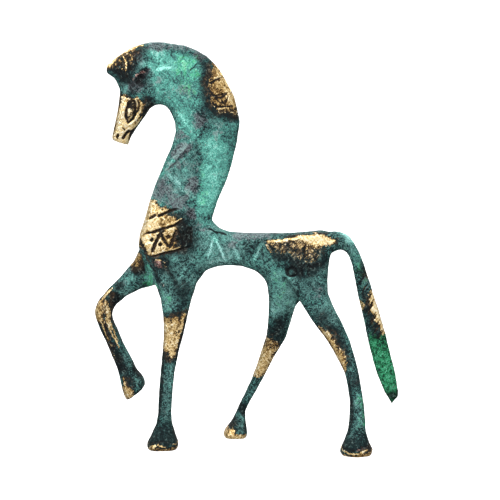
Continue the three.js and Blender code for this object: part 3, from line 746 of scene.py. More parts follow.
# where the patina is burnt black
SOOT = (
    # the crest's front, the brow and the muzzle's top
    Zone(((-28.1, 98.4), (-25.2, 99.4), (-23.8, 99), (-24.2, 97.6), (-25.2, 95.8), (-26, 94),
          (-27.8, 91.4), (-30, 90.8), (-28.6, 92.3), (-27.8, 95.4)), 1.0, 0.66),
    Zone(((-31.6, 92.2), (-27.8, 93.4), (-26.6, 91.4), (-27.6, 89.6), (-30, 90)), 0.9, 0.7),
    Zone(((-27.8, 91), (-26.2, 91.6), (-25.6, 89.6), (-26.4, 87.4), (-28.6, 87.6)), 0.9, 0.34),
    Zone(((-26.3, 89.6), (-25.9, 91.4), (-25.2, 92.8), (-24.2, 93.8), (-23.4, 93.1), (-23.8, 91.8),
          (-24.4, 90.6), (-25.4, 89.6)), 0.5, 0.6),
    Stroke(((-26.2, 90.2), (-25.7, 91.1), (-25.2, 92)), 1.0, 1.5),
    Zone(((-24.9, 87), (-22.3, 86.9), (-22, 85), (-24.6, 81.2), (-25.6, 82), (-24.6, 84)), 0.7, 0.9),
    # the band round the crest's back
    Zone(((-10.6, 95.6), (-8.2, 96.4), (-7.8, 93.4), (-9, 91.2), (-9.2, 88.8), (-8.8, 86.4), (-7.6, 84.6),
          (-4.5, 83.9), (-0.4, 84), (-0.4, 81.2), (-4.8, 81.2), (-8, 82), (-10.2, 84.4), (-10.9, 88),
          (-10.8, 92.1)), 1.0, 0.78),
    Zone(((-12.6, 97.6), (-9, 97.4), (-8.4, 94.6), (-10.8, 94)), 0.9, 0.42),
    # the chest's dark end
    Zone(((-17.2, 57.2), (-15.8, 57.8), (-14, 56.6), (-13.2, 54.4), (-13.4, 51.6), (-14.4, 50),
          (-15.6, 49.2), (-19, 48.6), (-22.4, 48.1), (-23.4, 48.5), (-17.3, 50), (-17.6, 52.6),
          (-16.9, 55)), 0.8, 0.8),
    Zone(((-13.8, 56), (-12, 56), (-11.6, 52), (-12.4, 49.6), (-14.4, 50)), 0.9, 0.42),
    Zone(((-21.2, 58), (-18.4, 58), (-16.6, 57.4), (-14.4, 58.6), (-15.8, 59.6), (-19, 59.2)), 0.5, 0.44),
    # the shoulder and the raised leg
    Zone(((-28.6, 44.9), (-27, 45.9), (-25.4, 47.2), (-24.8, 45.4), (-24.9, 43.8), (-26.6, 43),
          (-28, 43.8)), 0.5, 1.0),
    Zone(((-32.2, 40.8), (-30.6, 40.8), (-30.4, 39.2), (-31.6, 38.4), (-32.8, 39.4)), 0.5, 0.8),
    Zone(((-33.8, 38.6), (-32.4, 38.8), (-30.6, 37.4), (-31.8, 35.6), (-31.9, 33), (-31.2, 30.6),
          (-29.6, 26.8), (-30.8, 25.4), (-32.4, 28.6), (-33.4, 32.2), (-33.6, 35), (-34, 37)), 0.5, 0.94),
    Zone(((-36.6, 30.6), (-34.9, 30.4), (-33.2, 26), (-31.4, 21.6), (-30, 17.4), (-32.2, 17.4),
          (-34.8, 23), (-36.2, 27)), 0.6, 0.84),
    Zone(((-28.6, 22), (-27.4, 19.4), (-25.6, 18.6), (-25.6, 16.8), (-27.4, 16.6),
          (-28.4, 18.6)), 0.5, 0.85),
    Zone(((-31, 17.2), (-28.6, 16.8), (-28, 15), (-30.6, 14.6)), 0.5, 0.55),
    Zone(((-18.6, 42.6), (-16, 43), (-13.6, 41.6), (-13.6, 37.6), (-15.6, 36.2), (-17, 37.8),
          (-18, 40)), 0.9, 0.36),
    Stroke(((-24.8, 49.4), (-23.5, 46.6), (-22, 43.8), (-21, 41.2)), 0.4, 0.8),
    Stroke(((-20.2, 45.8), (-18.4, 43.6), (-17, 41.6), (-16.4, 39.6)), 0.6, 0.66),
    Zone(((-23.4, 48.2), (-19, 48.2), (-18.4, 45.4), (-21, 44), (-22.8, 45.8)), 0.7, 0.5),
    # the standing foreleg
    Zone(((-20.2, 34.2), (-17, 34.4), (-14.4, 36), (-14.4, 34.4), (-17.1, 33.2),
          (-20.2, 32.9)), 0.4, 0.6),
    Zone(((-20.4, 24.6), (-18.8, 23.6), (-17.2, 23.4), (-17.4, 21.8), (-19.7, 21.6),
          (-20.9, 22.6)), 0.5, 0.75),
    Stroke(((-20.1, 31.6), (-20.5, 25), (-20.9, 18), (-21.4, 10), (-22, 6.6)), 0.6, 0.66),
    Zone(((-23.2, 5.4), (-17.4, 6.4), (-15.8, 0.9), (-25.4, 0.9)), 0.9, 0.36),
    Stroke(((-24.8, 1.6), (-22, 2.4), (-19, 2.2)), 0.4, 0.7),
    Stroke(((-18.2, 6.4), (-17.4, 3.4), (-16.8, 1.4)), 0.7, 0.9),
    Stroke(((-24, 0.7), (-21, 0.45), (-17, 0.6)), 0.3, 0.6),
    # the far hind leg
    Zone(((6.8, 31.4), (8.6, 31.8), (9, 29.4), (8.2, 27.6), (6.8, 28)), 0.5, 0.8),
    Zone(((5.2, 29.6), (8.8, 31), (9.2, 28), (8.4, 25.2), (5.2, 26.2)), 0.6, 0.52),
    Stroke(((8.9, 25), (7.6, 22.4), (6, 19.2), (4.4, 16.4)), 0.5, 0.8),
    Zone(((-2.6, 8.4), (-0.4, 9.2), (0.4, 6), (0.9, 2), (-0.6, 2), (-0.8, 5)), 0.5, 0.9),
    Stroke(((-5, 4), (-4, 2.9), (-2.6, 1.9)), 0.5, 0.9),
    Zone(((-4.2, 4.8), (-2.8, 6), (-2, 3), (-4, 2.6)), 0.5, 0.7),
    # the rump and the near hind leg
    Zone(((5.2, 49.8), (10.6, 49), (11.2, 47.6), (9.6, 46.8), (6.8, 47.6)), 0.7, 0.56),
    Zone(((10.2, 48), (12.6, 47), (16, 46.8), (18.6, 47.4), (18.9, 45.6), (16.8, 44), (14.4, 42.8),
          (12, 42.9), (10.2, 43.6), (9.6, 45.6)), 1.0, 0.66),
    Zone(((11, 47), (14.4, 46.6), (18, 47), (19, 46), (16, 45), (12, 45.6)), 0.7, 0.86),
    Zone(((18, 50.2), (19.6, 50.2), (19.8, 47), (19, 46), (18, 47)), 0.7, 0.6),
    Stroke(((10.8, 45.9), (11.7, 45.5), (12, 44.6), (11.6, 43.7), (10.8, 43.3), (9.9, 43.6), (9.6, 44.6),
            (9.9, 45.5), (10.8, 45.9)), 0.42, 1.1),
    Stroke(((13.2, 46.6), (13.3, 43.8)), 0.6, 1.0),
    Stroke(((15, 46.4), (15, 44.2)), 0.5, 0.85),
    Zone(((17.4, 35.4), (19.8, 35.8), (20.4, 33.6), (18.6, 31.4), (16.8, 33)), 0.9, 0.52),
    Zone(((18, 32), (20.6, 32), (22.2, 31), (23.2, 29.2), (24, 26.8), (25, 24.4), (25.4, 22),
          (24.7, 21.6), (24.6, 23.6), (23, 26.6), (21.4, 29), (19.4, 30.8)), 0.7, 0.62),
    Stroke(((24.2, 31.6), (25.3, 29), (26.1, 26.4)), 0.4, 0.8),
    Stroke(((24.8, 20), (25.3, 16), (25.6, 12), (25.5, 8), (24.8, 5)), 0.55, 0.6),
    Zone(((26, 20.6), (27.6, 20.2), (27.4, 17), (25.6, 17)), 0.7, 0.45),
    Zone(((23.6, 4.6), (28.2, 4.4), (31, 3), (31.6, 0.4), (22.4, 0.4)), 0.8, 0.36),
    Stroke(((22.8, 2.4), (24.6, 1.9), (27, 2)), 0.5, 0.95),
    Zone(((27.6, 3.4), (30.6, 3.4), (31, 1.8), (28, 1.4)), 0.5, 0.8),
    Stroke(((24.2, 0.4), (26.4, -0.1), (28.4, 0.4)), 0.45, 0.9),
    # the tail
    Zone(((27.6, 46.6), (29.6, 46.2), (30.2, 43.6), (28.2, 43)), 0.7, 0.5),
    Zone(((28.6, 38.4), (30, 38), (31, 33.6), (33, 29.6), (32.6, 27.6), (30.6, 29),
          (29.2, 34)), 0.8, 0.5),
    Zone(((35.2, 13.8), (38, 14.2), (38, 11.4), (35, 11)), 0.6, 0.6),
)

# dusty violet brown over the verdigris
UMBER = (
    # the raised shin between its gilt lines
    Zone(((-36.4, 31), (-34.8, 31), (-33.4, 27.6), (-32, 23.6), (-33.2, 20.6), (-34.8, 24),
          (-36.2, 28)), 0.5, 0.8),
    # the neck's dusty left side
    Zone(((-18.8, 73.4), (-16, 75.8), (-13.2, 75.8), (-13.2, 74), (-15, 72.6), (-17, 71.4),
          (-18.8, 71.8)), 0.7, 1.0),
    Zone(((-14.2, 67.6), (-12, 67.2), (-11.4, 65), (-12.2, 63.2), (-13.6, 63.4),
          (-14.8, 65.2)), 0.7, 1.0),
    Zone(((-22, 67.2), (-19.8, 67.6), (-18.6, 65.6), (-18.4, 63.4), (-20.4, 61.8),
          (-22.6, 62.4)), 0.9, 0.86),
    Zone(((-19.8, 64), (-14.4, 63.4), (-14, 60.6), (-17.4, 59.8), (-20, 61)), 1.0, 0.72),
    Zone(((-20.6, 72), (-15.4, 72), (-14, 69.6), (-19.8, 68.6)), 1.2, 0.52),
    Zone(((-17.4, 79.4), (-14, 79), (-12.8, 76.4), (-17.6, 76)), 1.0, 0.55),
    # the crest's top and the spots on the head and neck
    Zone(((-25.8, 101), (-14.3, 101), (-8.2, 98), (-9.5, 95.5), (-13, 97.6), (-17.1, 98.4), (-21, 98.2),
          (-24.5, 98.6)), 0.8, 0.86),
    Zone(((-12.8, 98.8), (-9.6, 97), (-10.4, 95), (-13.4, 96.6)), 0.8, 0.7),
    Zone(((-16.6, 90), (-13, 90.4), (-12.4, 87.4), (-14.4, 86.2), (-17, 87.4)), 1.0, 0.74),
    Zone(((-12.8, 83.4), (-9.8, 84), (-9.4, 79.6), (-12.4, 78.6)), 0.9, 0.8),
    Zone(((-21.6, 91.6), (-20, 91.6), (-19.8, 89.8), (-21.4, 89.6)), 0.5, 0.6),
    Zone(((-20.8, 88.6), (-17.6, 89.2), (-17.8, 87), (-20.4, 86.6)), 0.8, 0.4),
    Zone(((-8.6, 80.4), (-5.4, 80.6), (-4.8, 77.4), (-8.2, 76.8)), 1.0, 0.42),
    Zone(((-13, 72), (-11.4, 71.6), (-11.2, 68.2), (-13, 68)), 0.7, 0.45),
    Zone(((-27, 92.2), (-25.6, 92.8), (-24, 94.4), (-23.2, 93.6), (-24.2, 91.6), (-26, 91)), 0.4, 0.95),
    Zone(((-28.8, 90.8), (-26.4, 91.4), (-24.6, 90.6), (-24.4, 88.4), (-26, 87.8),
          (-28.4, 88.6)), 0.6, 0.76),
    Zone(((-28, 97.6), (-24.4, 98.6), (-24.8, 95.4), (-27.6, 94)), 0.8, 0.7),
    Zone(((-14.6, 60), (-12.4, 60), (-12.2, 57.4), (-14.4, 57.4)), 0.6, 0.86),
    # the back, the barrel and the hips
    Zone(((-3.4, 54.6), (5.4, 54.6), (5.4, 52.4), (0, 52.2), (-3.4, 52.6)), 0.6, 0.72),
    Zone(((-5, 52.4), (-2.2, 52.2), (-2.4, 49.8), (-4.8, 50)), 0.7, 0.66),
    Zone(((-13, 56), (-9, 56), (-8.8, 54.4), (-12.4, 53.8)), 0.7, 0.7),
    Zone(((15.8, 41.4), (19.2, 41), (18.8, 37.6), (16, 38)), 0.9, 0.56),
    Zone(((-33, 41.4), (-28.6, 44.4), (-27.4, 42.4), (-31.4, 39.2)), 1.0, 0.4),
    Zone(((26, 20), (27.6, 20), (27.4, 17.4), (25.8, 17.4)), 0.6, 0.55),
    Zone(((27.6, 46), (29.6, 46), (31.4, 41), (30.6, 37), (28.4, 38), (27.6, 42)), 0.9, 0.42),
    Zone(((28, 3.2), (30.8, 3), (30.6, 1.4), (28.4, 1.4)), 0.5, 0.7),
)

# where the verdigris is dull and dark
SLATE = (
    Zone(((-26.4, 62), (-12.4, 60), (-11.4, 57), (-5, 55.6), (26, 56.4), (28.6, 50), (40, 16), (40, 2),
          (-40, -2), (-40, 40), (-27, 50)), 1.6, 0.74),
    Zone(((-17.6, 80), (-12, 78), (-11.6, 70), (-11.8, 61), (-26, 61), (-20, 70)), 1.6, 0.62),
    Zone(((-31, 99), (-23.6, 99.6), (-23.4, 95), (-22.8, 88), (-30.4, 87)), 1.0, 0.8),
    Zone(((-15, 99), (-9, 97), (-2, 84), (-2, 79), (-11, 79), (-10.6, 93)), 1.4, 0.55),
)

# where the verdigris is pale and thick
BLOOM = (
    # the head, brightest at the nape, where a painted highlight lies on the verdigris
    Zone(((-23.8, 99.2), (-20.9, 98.6), (-17.6, 98.2), (-14.7, 98.4), (-11.6, 96.4), (-10.6, 93.6),
          (-10.9, 88.3), (-10.6, 84.9), (-13.4, 83.5), (-16.3, 85.4), (-19.6, 85.9), (-22, 86.6),
          (-22.6, 90.2), (-22.9, 92.1), (-23.8, 95.4)), 1.2, 0.82),
    Zone(((-21.4, 96.4), (-18, 98), (-15.6, 97.8), (-13, 97), (-10.8, 95.2), (-12.2, 92.3), (-11.6, 90.1),
          (-12.2, 88.4), (-14, 90.8), (-15.3, 92.6), (-19.8, 92.4), (-21.6, 93)), 0.9, 1.04),
    # a painted highlight across the nape, strong enough to reach the palest verdigris
    Stroke(((-21.8, 93.3), (-20, 93.8), (-18, 94)), 0.9, 1.5, 0.8),
    Zone(((-27, 90.6), (-23.4, 90.6), (-23, 87.4), (-26.4, 87)), 0.8, 0.4),
    Zone(((-21.8, 98), (-20.6, 98), (-20, 95), (-21.4, 94.6)), 0.4, 1.16),
    Zone(((-23.8, 99), (-21.8, 99.2), (-21.4, 97), (-23.2, 96.4)), 0.5, 0.98),
    Zone(((-23.6, 95.2), (-22.4, 94.8), (-22, 92.6), (-23.2, 93)), 0.4, 1.0),
    Zone(((-26.2, 95.2), (-24.4, 95.6), (-23, 95), (-23.8, 94.2), (-25.6, 94)), 0.4, 0.85),
    Zone(((-29.8, 90), (-28.2, 90), (-28.2, 88.4), (-29.8, 88.2)), 0.5, 0.85),
    Zone(((-20.4, 87), (-16, 87), (-14.6, 84.6), (-17, 84), (-20, 85.4)), 0.8, 0.92),
    # the neck: a bright right side and lighter streaks on the left
    Zone(((-17.2, 86.9), (-13.6, 86.4), (-11.8, 82.5), (-11.2, 78), (-7.7, 77.8), (-3, 76), (-2.6, 72),
          (-5.5, 64.6), (-7.5, 58.5), (-9.4, 57.6), (-12.6, 59), (-12, 62.4), (-11.2, 66), (-10.6, 71),
          (-11.4, 75.4), (-14, 78), (-17, 82)), 1.2, 0.8),
    Zone(((-10.9, 70), (-10, 71.6), (-7.6, 71.2), (-6.6, 69), (-6.5, 66), (-7, 63), (-7.8, 60.6),
          (-9.4, 60), (-11.6, 60.6), (-12.4, 62), (-11.2, 64), (-10.9, 66.6)), 0.7, 1.06),
    Zone(((-9.8, 77.4), (-8.4, 76.4), (-5.4, 75.6), (-4.6, 73.4), (-6.2, 72), (-9, 71.8),
          (-10.4, 74)), 0.8, 0.96),
    Zone(((-9, 76.8), (-7.6, 76.6), (-7.8, 75.4), (-9, 75.6)), 0.4, 1.2),
    Zone(((-17.2, 84), (-15, 83.4), (-11.4, 78), (-13, 76.8), (-16.8, 79.4)), 0.7, 0.88),
    Zone(((-9, 84), (-2, 81), (-2, 76), (-5.4, 70), (-9, 76)), 1.2, 0.62),
    Zone(((-19, 83), (-15, 79), (-12, 76), (-11.4, 60), (-19, 60), (-26, 60), (-24, 68),
          (-21.4, 76)), 1.4, 0.52),
    Zone(((-17.6, 70), (-13.8, 70.4), (-13.6, 66.4), (-16, 65), (-18, 67)), 0.8, 0.8),
    Zone(((-18.6, 66.6), (-16.2, 66.4), (-15.6, 63.6), (-18.2, 63.4)), 0.7, 0.76),
    Zone(((-26, 101), (-14, 101), (-6, 97), (-8, 94), (-14, 98), (-20, 98.6), (-26, 98)), 1.0, 0.6),
    Zone(((-28, 97.6), (-24.4, 98.8), (-23.4, 95.6), (-26, 93.8)), 0.9, 0.4),
    # the shoulder and barrel
    Zone(((-12.2, 58), (-8.2, 57.2), (-3.3, 54.4), (-1, 52.6), (-0.6, 47), (-10, 44.8), (-13.6, 46.6),
          (-11.9, 51.1)), 1.0, 0.62),
    Zone(((-9.4, 54.6), (-6.6, 54), (-4.6, 50), (-4.8, 46.8), (-9.4, 46.4), (-9.8, 50)), 0.9, 0.76),
    Zone(((-3.2, 50), (-1, 49.6), (-0.8, 47), (-3.4, 47)), 0.6, 0.86),
    Zone(((-8.3, 54.6), (4.6, 54.6), (5.4, 52.8), (1, 52.4), (-8, 52.6)), 0.7, 0.56),
    Zone(((-0.6, 51), (6.4, 50), (8.4, 44.4), (-1.5, 45)), 1.0, 0.4),
    Zone(((1.2, 49.2), (3, 49), (3.4, 46.6), (1.2, 46.6)), 0.6, 0.66),
    Zone(((-19, 48.6), (-16.4, 48.8), (-16, 46.6), (-18.6, 46.2)), 0.6, 0.6),
    Zone(((-22, 44), (-13, 46), (-12, 41), (-20.4, 39)), 1.2, 0.32),
    Zone(((-24.8, 47.6), (-23.6, 46), (-22.2, 43), (-21.6, 40), (-24, 40), (-25.2, 42),
          (-24.8, 44.4)), 0.35, 0.92),
    Zone(((-20.8, 40.2), (-18.6, 39.6), (-17.6, 36.4), (-17.6, 34), (-20.2, 33.6),
          (-20.8, 36)), 0.6, 0.62),
    Zone(((-30.6, 42.6), (-27.4, 43.4), (-27, 41.4), (-30, 40)), 0.7, 0.84),
    Zone(((-33.4, 39.8), (-28.6, 44.8), (-24.8, 43.4), (-26.6, 40.6), (-31, 37.4)), 0.9, 0.42),
    # the hips, the legs and the tail
    Zone(((5.6, 46), (9.8, 45), (12, 41), (12.4, 36), (10.2, 33), (8.6, 32.4), (5.6, 33)), 0.9, 0.78),
    Zone(((11, 43), (20.4, 46), (21.4, 38), (23, 33), (20.4, 32.6), (18, 35), (14.2, 37.2)), 1.2, 0.46),
    Zone(((12.6, 43.2), (16, 43.4), (16, 39), (13.4, 40)), 0.8, 0.56),
    Zone(((-19.8, 22.4), (-18, 22.6), (-18, 8.6), (-19.6, 8.6)), 0.5, 0.4),
    Zone(((-31.6, 25), (-29.6, 25), (-27.6, 19.6), (-29.4, 18.6)), 0.7, 0.3),
    Zone(((26.2, 16), (28.4, 16), (29, 7), (26.2, 6.4)), 0.8, 0.5),
    Zone(((-1.6, 6.4), (-0.8, 6.2), (-0.6, 3.4), (-1.8, 3.2)), 0.4, 0.5),
    Zone(((21, 55.4), (24.6, 54.8), (27.4, 51), (25.4, 50.6), (23, 53)), 0.6, 0.96),
    Zone(((24, 52.6), (26.4, 51.4), (28.4, 46), (26.6, 45)), 0.8, 0.6),
    Zone(((28, 42.4), (30.6, 42), (30.8, 39.6), (28.4, 39.6)), 0.5, 0.56),
    Zone(((31.4, 26), (34, 25.6), (36.8, 18), (36.2, 14), (33.4, 15.4), (31.6, 20)), 0.9, 0.36),
)

# where the verdigris turns a leaf green
LEAF_GREEN = (
    Zone(((30.4, 28.6), (34.4, 28.2), (37.6, 21.7), (39.4, 16.6), (39.5, 11), (34.8, 9.5), (32, 16.6),
          (29, 24.3)), 1.4, 0.95),
    Zone(((28.6, 34), (32, 32), (33, 28), (30, 27)), 1.0, 0.4),
    Zone(((-25.2, 49), (-23.9, 46.7), (-22.6, 43.6), (-21.3, 40.2), (-23.5, 39), (-25.6, 40.6),
          (-24.9, 45.2)), 0.4, 0.5),
    Zone(((-21.2, 40), (-18.4, 39.5), (-17.8, 34.5), (-20.6, 33.5)), 0.7, 0.36),
    Zone(((26.6, 16), (29.4, 16), (30.4, 7), (26.6, 6)), 0.8, 0.4),
    Zone(((24, 51), (28.6, 47), (30.4, 40), (28, 39)), 1.2, 0.34),
    Zone(((-17, 98), (-11.4, 96), (-10.8, 90), (-12, 86), (-16, 87.6), (-17.4, 92)), 1.2, 0.5),
    Zone(((-11, 70.8), (-9, 70.8), (-8.8, 61), (-12, 60.6)), 0.9, 0.44),
    Zone(((6, 44), (10, 43), (10, 34), (6, 34)), 1.2, 0.3),
)

# spots of red copper, and pink painted highlights on the eye's lid
COPPER = (
    Zone(((-22.9, 47.5), (-21.4, 47.6), (-20.6, 46.6), (-20.8, 45.4), (-21.8, 45.2),
          (-22.5, 46)), 0.4, 0.85, 0.0),
    Zone(((-21, 47.4), (-19, 47.2), (-18.8, 46.2), (-20.6, 45.8)), 0.5, 0.5, 0.0),
    Zone(((-20.7, 41.8), (-20, 41.6), (-19.9, 40.4), (-20.4, 40.2)), 0.3, 0.8, 0.0),
    Zone(((25.8, 1.9), (28.2, 2.4), (29.6, 3), (29.2, 2.2), (27.6, 1.5)), 0.3, 0.7, 0.4),
    Zone(((24, 0.8), (26.6, 0.4), (28, 0.8), (27.4, 0), (24.6, 0)), 0.3, 0.5, 0.2),
    # pink painted highlights on the eye's lid, in the copper's colour
    Stroke(((-27.3, 90.9), (-26.9, 91.5)), 0.36, 1.2, 0.8),
    Stroke(((-26.4, 92), (-25.9, 92.5)), 0.42, 1.4, 0.8),
    Zone(((-26, 92.8), (-24.9, 93.6), (-24.1, 93.2), (-25, 92)), 0.4, 0.74, 0.8),
    Zone(((-34.6, 36.4), (-33.8, 36.4), (-33.8, 35.2), (-34.5, 35)), 0.3, 0.6, 0.5),
)

# painted light and shade, and some shifts of tone, as lighter and darker strokes in the crust, by the
# sign of their strength
PAINTED_LIGHT_AND_TONE = (
    # the faint zigzag on the neck and the one on the barrel, painted light beside painted shade to show
    # their relief
    Stroke(((-16.9, 83.8), (-14.1, 80.5), (-11.4, 77.7)), 0.8, 0.35),
    Stroke(((-11.6, 78), (-15.8, 74.2), (-19.5, 69.4)), 0.8, 0.45),
    Stroke(((-12.6, 75.6), (-15.8, 72.8), (-18.8, 69.4)), 0.4, -0.5),
    Stroke(((-19.5, 69.1), (-16.5, 66), (-12.6, 62.3)), 0.8, 0.42),
    Stroke(((-19.6, 67.8), (-17, 65), (-13.6, 62)), 0.4, -0.35),
    Stroke(((-9.6, 47.4), (-8.6, 50.4), (-7.8, 53.2)), 0.36, 0.75),
    Stroke(((-7.8, 53), (-6.4, 50), (-5.2, 47.2)), 0.38, 0.85),
    Stroke(((-5.2, 47.4), (-4.2, 49.2), (-3.4, 50.8)), 0.34, 0.5),
    Stroke(((-3.4, 50.8), (-2.2, 48.8), (-1.2, 46.8)), 0.45, 0.3),
    Stroke(((1.6, 47), (2.8, 49.2), (3.8, 51.2)), 0.34, 0.6),
    Stroke(((-12.2, 52.6), (-10.6, 54), (-9.2, 54.8)), 0.45, 0.3),
    Stroke(((-6.8, 53.4), (-5.6, 50.4), (-4.4, 47.4)), 0.35, -0.4),
    Stroke(((-2.8, 51.4), (-1.4, 49), (-0.2, 46.8)), 0.5, -0.4),
    Stroke(((2.6, 47), (3.8, 49.4), (4.8, 51)), 0.5, -0.4),
    Zone(((-0.4, 51.4), (1.6, 51.4), (1.2, 48.4), (-0.2, 48.6)), 0.5, -0.35),
    # dark scribbles on the neck's right edge and below the crest
    Zone(((-6, 78.6), (-2.2, 79.4), (-3.2, 72), (-4.4, 69), (-6.4, 70.4), (-5, 74)), 0.8, -0.32),
    Stroke(((-12.8, 72.4), (-12, 73.8), (-11, 73)), 0.5, -0.5),
    Stroke(((-16.6, 70.2), (-15.8, 68.4), (-15.4, 66.8)), 0.6, -0.35),
    Zone(((-18.4, 97.6), (-16.8, 97.8), (-16.8, 96.2), (-18.2, 96.4)), 0.4, -0.5),
    Zone(((-15.4, 98.4), (-13, 97.4), (-13.6, 96), (-15.6, 96.8)), 0.5, -0.4),
    Stroke(((-18.6, 91.2), (-17.4, 91), (-16.8, 91.4)), 0.4, -0.5),
    Stroke(((-20.6, 88.8), (-19.6, 88.8)), 0.4, -0.5),
    Stroke(((-23.4, 96.4), (-22.4, 95.6), (-21.6, 94.8)), 0.5, -0.35),
    Stroke(((-25.6, 94.8), (-24.2, 95.2), (-22.8, 95)), 0.4, 0.3),
    # the shoulder's diagonal streaks and the web's light foot
    Stroke(((-15.4, 45), (-16.3, 43.2), (-16.9, 41)), 0.4, 0.4),
    Stroke(((-13, 47.6), (-14.6, 45.8), (-15.6, 44)), 0.4, 0.3),
    Stroke(((-11.6, 45.8), (-12.6, 43.6), (-13.4, 41)), 0.4, 0.22),
    Stroke(((-14, 46), (-15, 43.6), (-15.4, 41)), 0.45, -0.35),
    Stroke(((-23.8, 44.4), (-22.8, 42.4), (-22, 41.2)), 0.6, 0.3),
    # painted light on the legs' lit edges and facets, painted shade on the facets turned away and in the
    # thigh's crease, and darker and lighter tone over the hooves, shins, web, thigh, tail, shoulder and
    # neck
    Stroke(((-12.4, 43), (-13.4, 39.6), (-14.2, 36.2)), 0.4, 0.4),
    Stroke(((-29, 45), (-31.6, 42.4), (-33.6, 40.2)), 0.45, 0.4),
    Stroke(((-25.8, 40.4), (-28.6, 39.2), (-31, 37.2)), 0.45, 0.3),
    Stroke(((-30.2, 24.6), (-29.2, 22), (-28.4, 19.8)), 0.5, 0.3),
    Stroke(((-28.5, 16.4), (-27.5, 16.1), (-27.2, 15.1), (-27.7, 14.2)), 0.32, 0.6),
    Zone(((-27, 17), (-25.2, 16.8), (-25, 14.8), (-26.6, 14.6)), 0.5, 0.2),
    Stroke(((-18.4, 22), (-18.6, 17), (-18.5, 12), (-18.5, 9)), 0.5, 0.22),
    Stroke(((-20.4, 20), (-20.3, 14), (-20.4, 9)), 0.4, 0.15),
    Stroke(((11.9, 36.6), (11.4, 33), (10.6, 29.6), (10, 27.6)), 0.75, 0.75),
    Stroke(((10.2, 36), (9.8, 33.6), (9.4, 31.6)), 0.5, -0.4),
    Stroke(((6.1, 42), (5.9, 37), (5.7, 32)), 0.4, -0.4),
    Stroke(((20.2, 39.6), (21.6, 36.4), (23.2, 33), (24.4, 30.2), (25.2, 27.4), (25.8, 25)), 0.8, 0.62),
    Stroke(((28.9, 16), (29.3, 11), (29.4, 6)), 0.4, -0.35),
    Stroke(((8.6, 43.4), (10.2, 41.6), (12, 39.4), (13, 37.8)), 0.9, -0.5),
    Stroke(((2.4, 15.6), (1, 12), (-0.6, 8.6)), 0.5, 0.3),
    Zone(((-0.6, 15.6), (1.6, 14), (-2, 7.6), (-3.4, 6.6)), 0.4, -0.1),
    Zone(((-33, 24), (-29, 24), (-24.6, 17), (-26, 12), (-31, 12), (-31.6, 18)), 1.0, -0.24),
    Zone(((-23, 7), (-18, 7), (-15.5, 1), (-25.6, 1)), 1.0, -0.36),
    Zone(((24.4, 6), (29.6, 6), (32, 1), (22, 0.6)), 1.0, -0.32),
    Zone(((-22.6, 5), (-20, 5), (-19, 2.6), (-22.4, 2.6)), 0.8, 0.1),
    Zone(((-9.6, 78), (-2, 80), (-2, 74), (-6, 62), (-9, 57.6), (-12, 60), (-10.4, 70)), 1.2, 0.08),
    Zone(((-20, 21.6), (-17.4, 21.6), (-17.6, 8), (-21, 8)), 0.8, -0.12),
    Zone(((12, 43), (20, 44), (21, 39), (14, 38)), 1.2, -0.2),
    Zone(((-25, 47), (-21, 44), (-21, 39.6), (-25.4, 40.4)), 0.8, -0.2),
    Zone(((28, 46), (31.4, 42), (31.6, 36), (28.6, 36), (27, 42)), 0.9, -0.26),
    Zone(((-20, 49), (-14, 48), (-14, 41), (-20, 42)), 1.0, 0.08),
    Zone(((-13, 56), (-5, 54), (-6, 46), (-13, 45)), 1.2, 0.03),
    # a painted highlight along the back's top edge and the rump's far edge, and lighter and darker
    # strokes on the tail
    Stroke(((-8, 56), (-5, 54.7), (0, 54.3), (8, 54.2), (14, 54.6), (19, 55.3), (23, 55)), 0.5, 0.5),
    Stroke(((12, 54.4), (15, 54.7), (18, 55)), 0.4, 0.4),
    Stroke(((22, 54.4), (24.8, 53.2), (26.6, 50.8)), 0.7, 0.4),
    Stroke(((33.6, 22), (34.4, 18), (35.6, 15)), 0.8, 0.15),
    Stroke(((34.6, 28.2), (33.6, 26.4), (33, 24.8)), 0.4, -0.4),
    Stroke(((36, 22), (35.2, 20.2), (34.8, 18.6)), 0.35, -0.3),
    # painted highlights on the ring and strokes under the rump, light in the black
    Stroke(((9.7, 45.4), (10.6, 46.2), (11.8, 46), (12.5, 45)), 0.35, 0.5, 0.0),
    Stroke(((9.8, 43.2), (10.9, 42.7), (12, 43.1)), 0.35, 0.5, 0.0),
    Stroke(((10.5, 44.5), (11.1, 44.8)), 0.42, 1.1, 0.0),
    Stroke(((14.4, 46.4), (14.5, 43.8)), 0.3, 0.5, 0.0),
)

# the tables that are stored on the casting as they are named
FINISHES = {
    "rubbed": RUBBED,
    "soot": SOOT,
    "umber": UMBER,
    "slate": SLATE,
    "bloom": BLOOM,
    "leaf_green": LEAF_GREEN,
    "copper": COPPER,
    "tarnish": TARNISH,
}


def highest(patches: Sequence[Patch], skin: Skin) -> np.ndarray:
    """Takes the strongest of a table's patches at each of the casting's vertices."""
    return np.max([patch.weight(skin) for patch in patches], axis=0)


def select_only(piece: bpy.types.Object) -> None:
    """Selects one object and makes it the active one."""
    bpy.ops.object.select_all(action="DESELECT")
    piece.select_set(True)
    bpy.context.view_layer.objects.active = piece


def apply_modifier(piece: bpy.types.Object, kind: str, **settings: object) -> None:
    """Adds a modifier to a piece and applies it.

    Args:
        piece: The object to change.
        kind: The modifier's type.
        **settings: The modifier's own settings.
    """
    select_only(piece)
    bpy.ops.object.modifier_add(type=kind)
    modifier = piece.modifiers[-1]
    for name, value in settings.items():
        setattr(modifier, name, value)
    bpy.ops.object.modifier_apply(modifier=modifier.name)


def clouds(name: str, size: float, depth: int) -> bpy.types.Texture:
    """Makes a procedural cloud pattern that modifiers can raise the surface by.

    Args:
        name: The pattern's name.
        size: The size of its largest lumps, in metres.
        depth: How many finer layers lie over them.

    Returns:
        The pattern.
    """
    pattern = bpy.data.textures.new(name, "CLOUDS")
    pattern.noise_scale = size
    pattern.noise_depth = depth
    return pattern


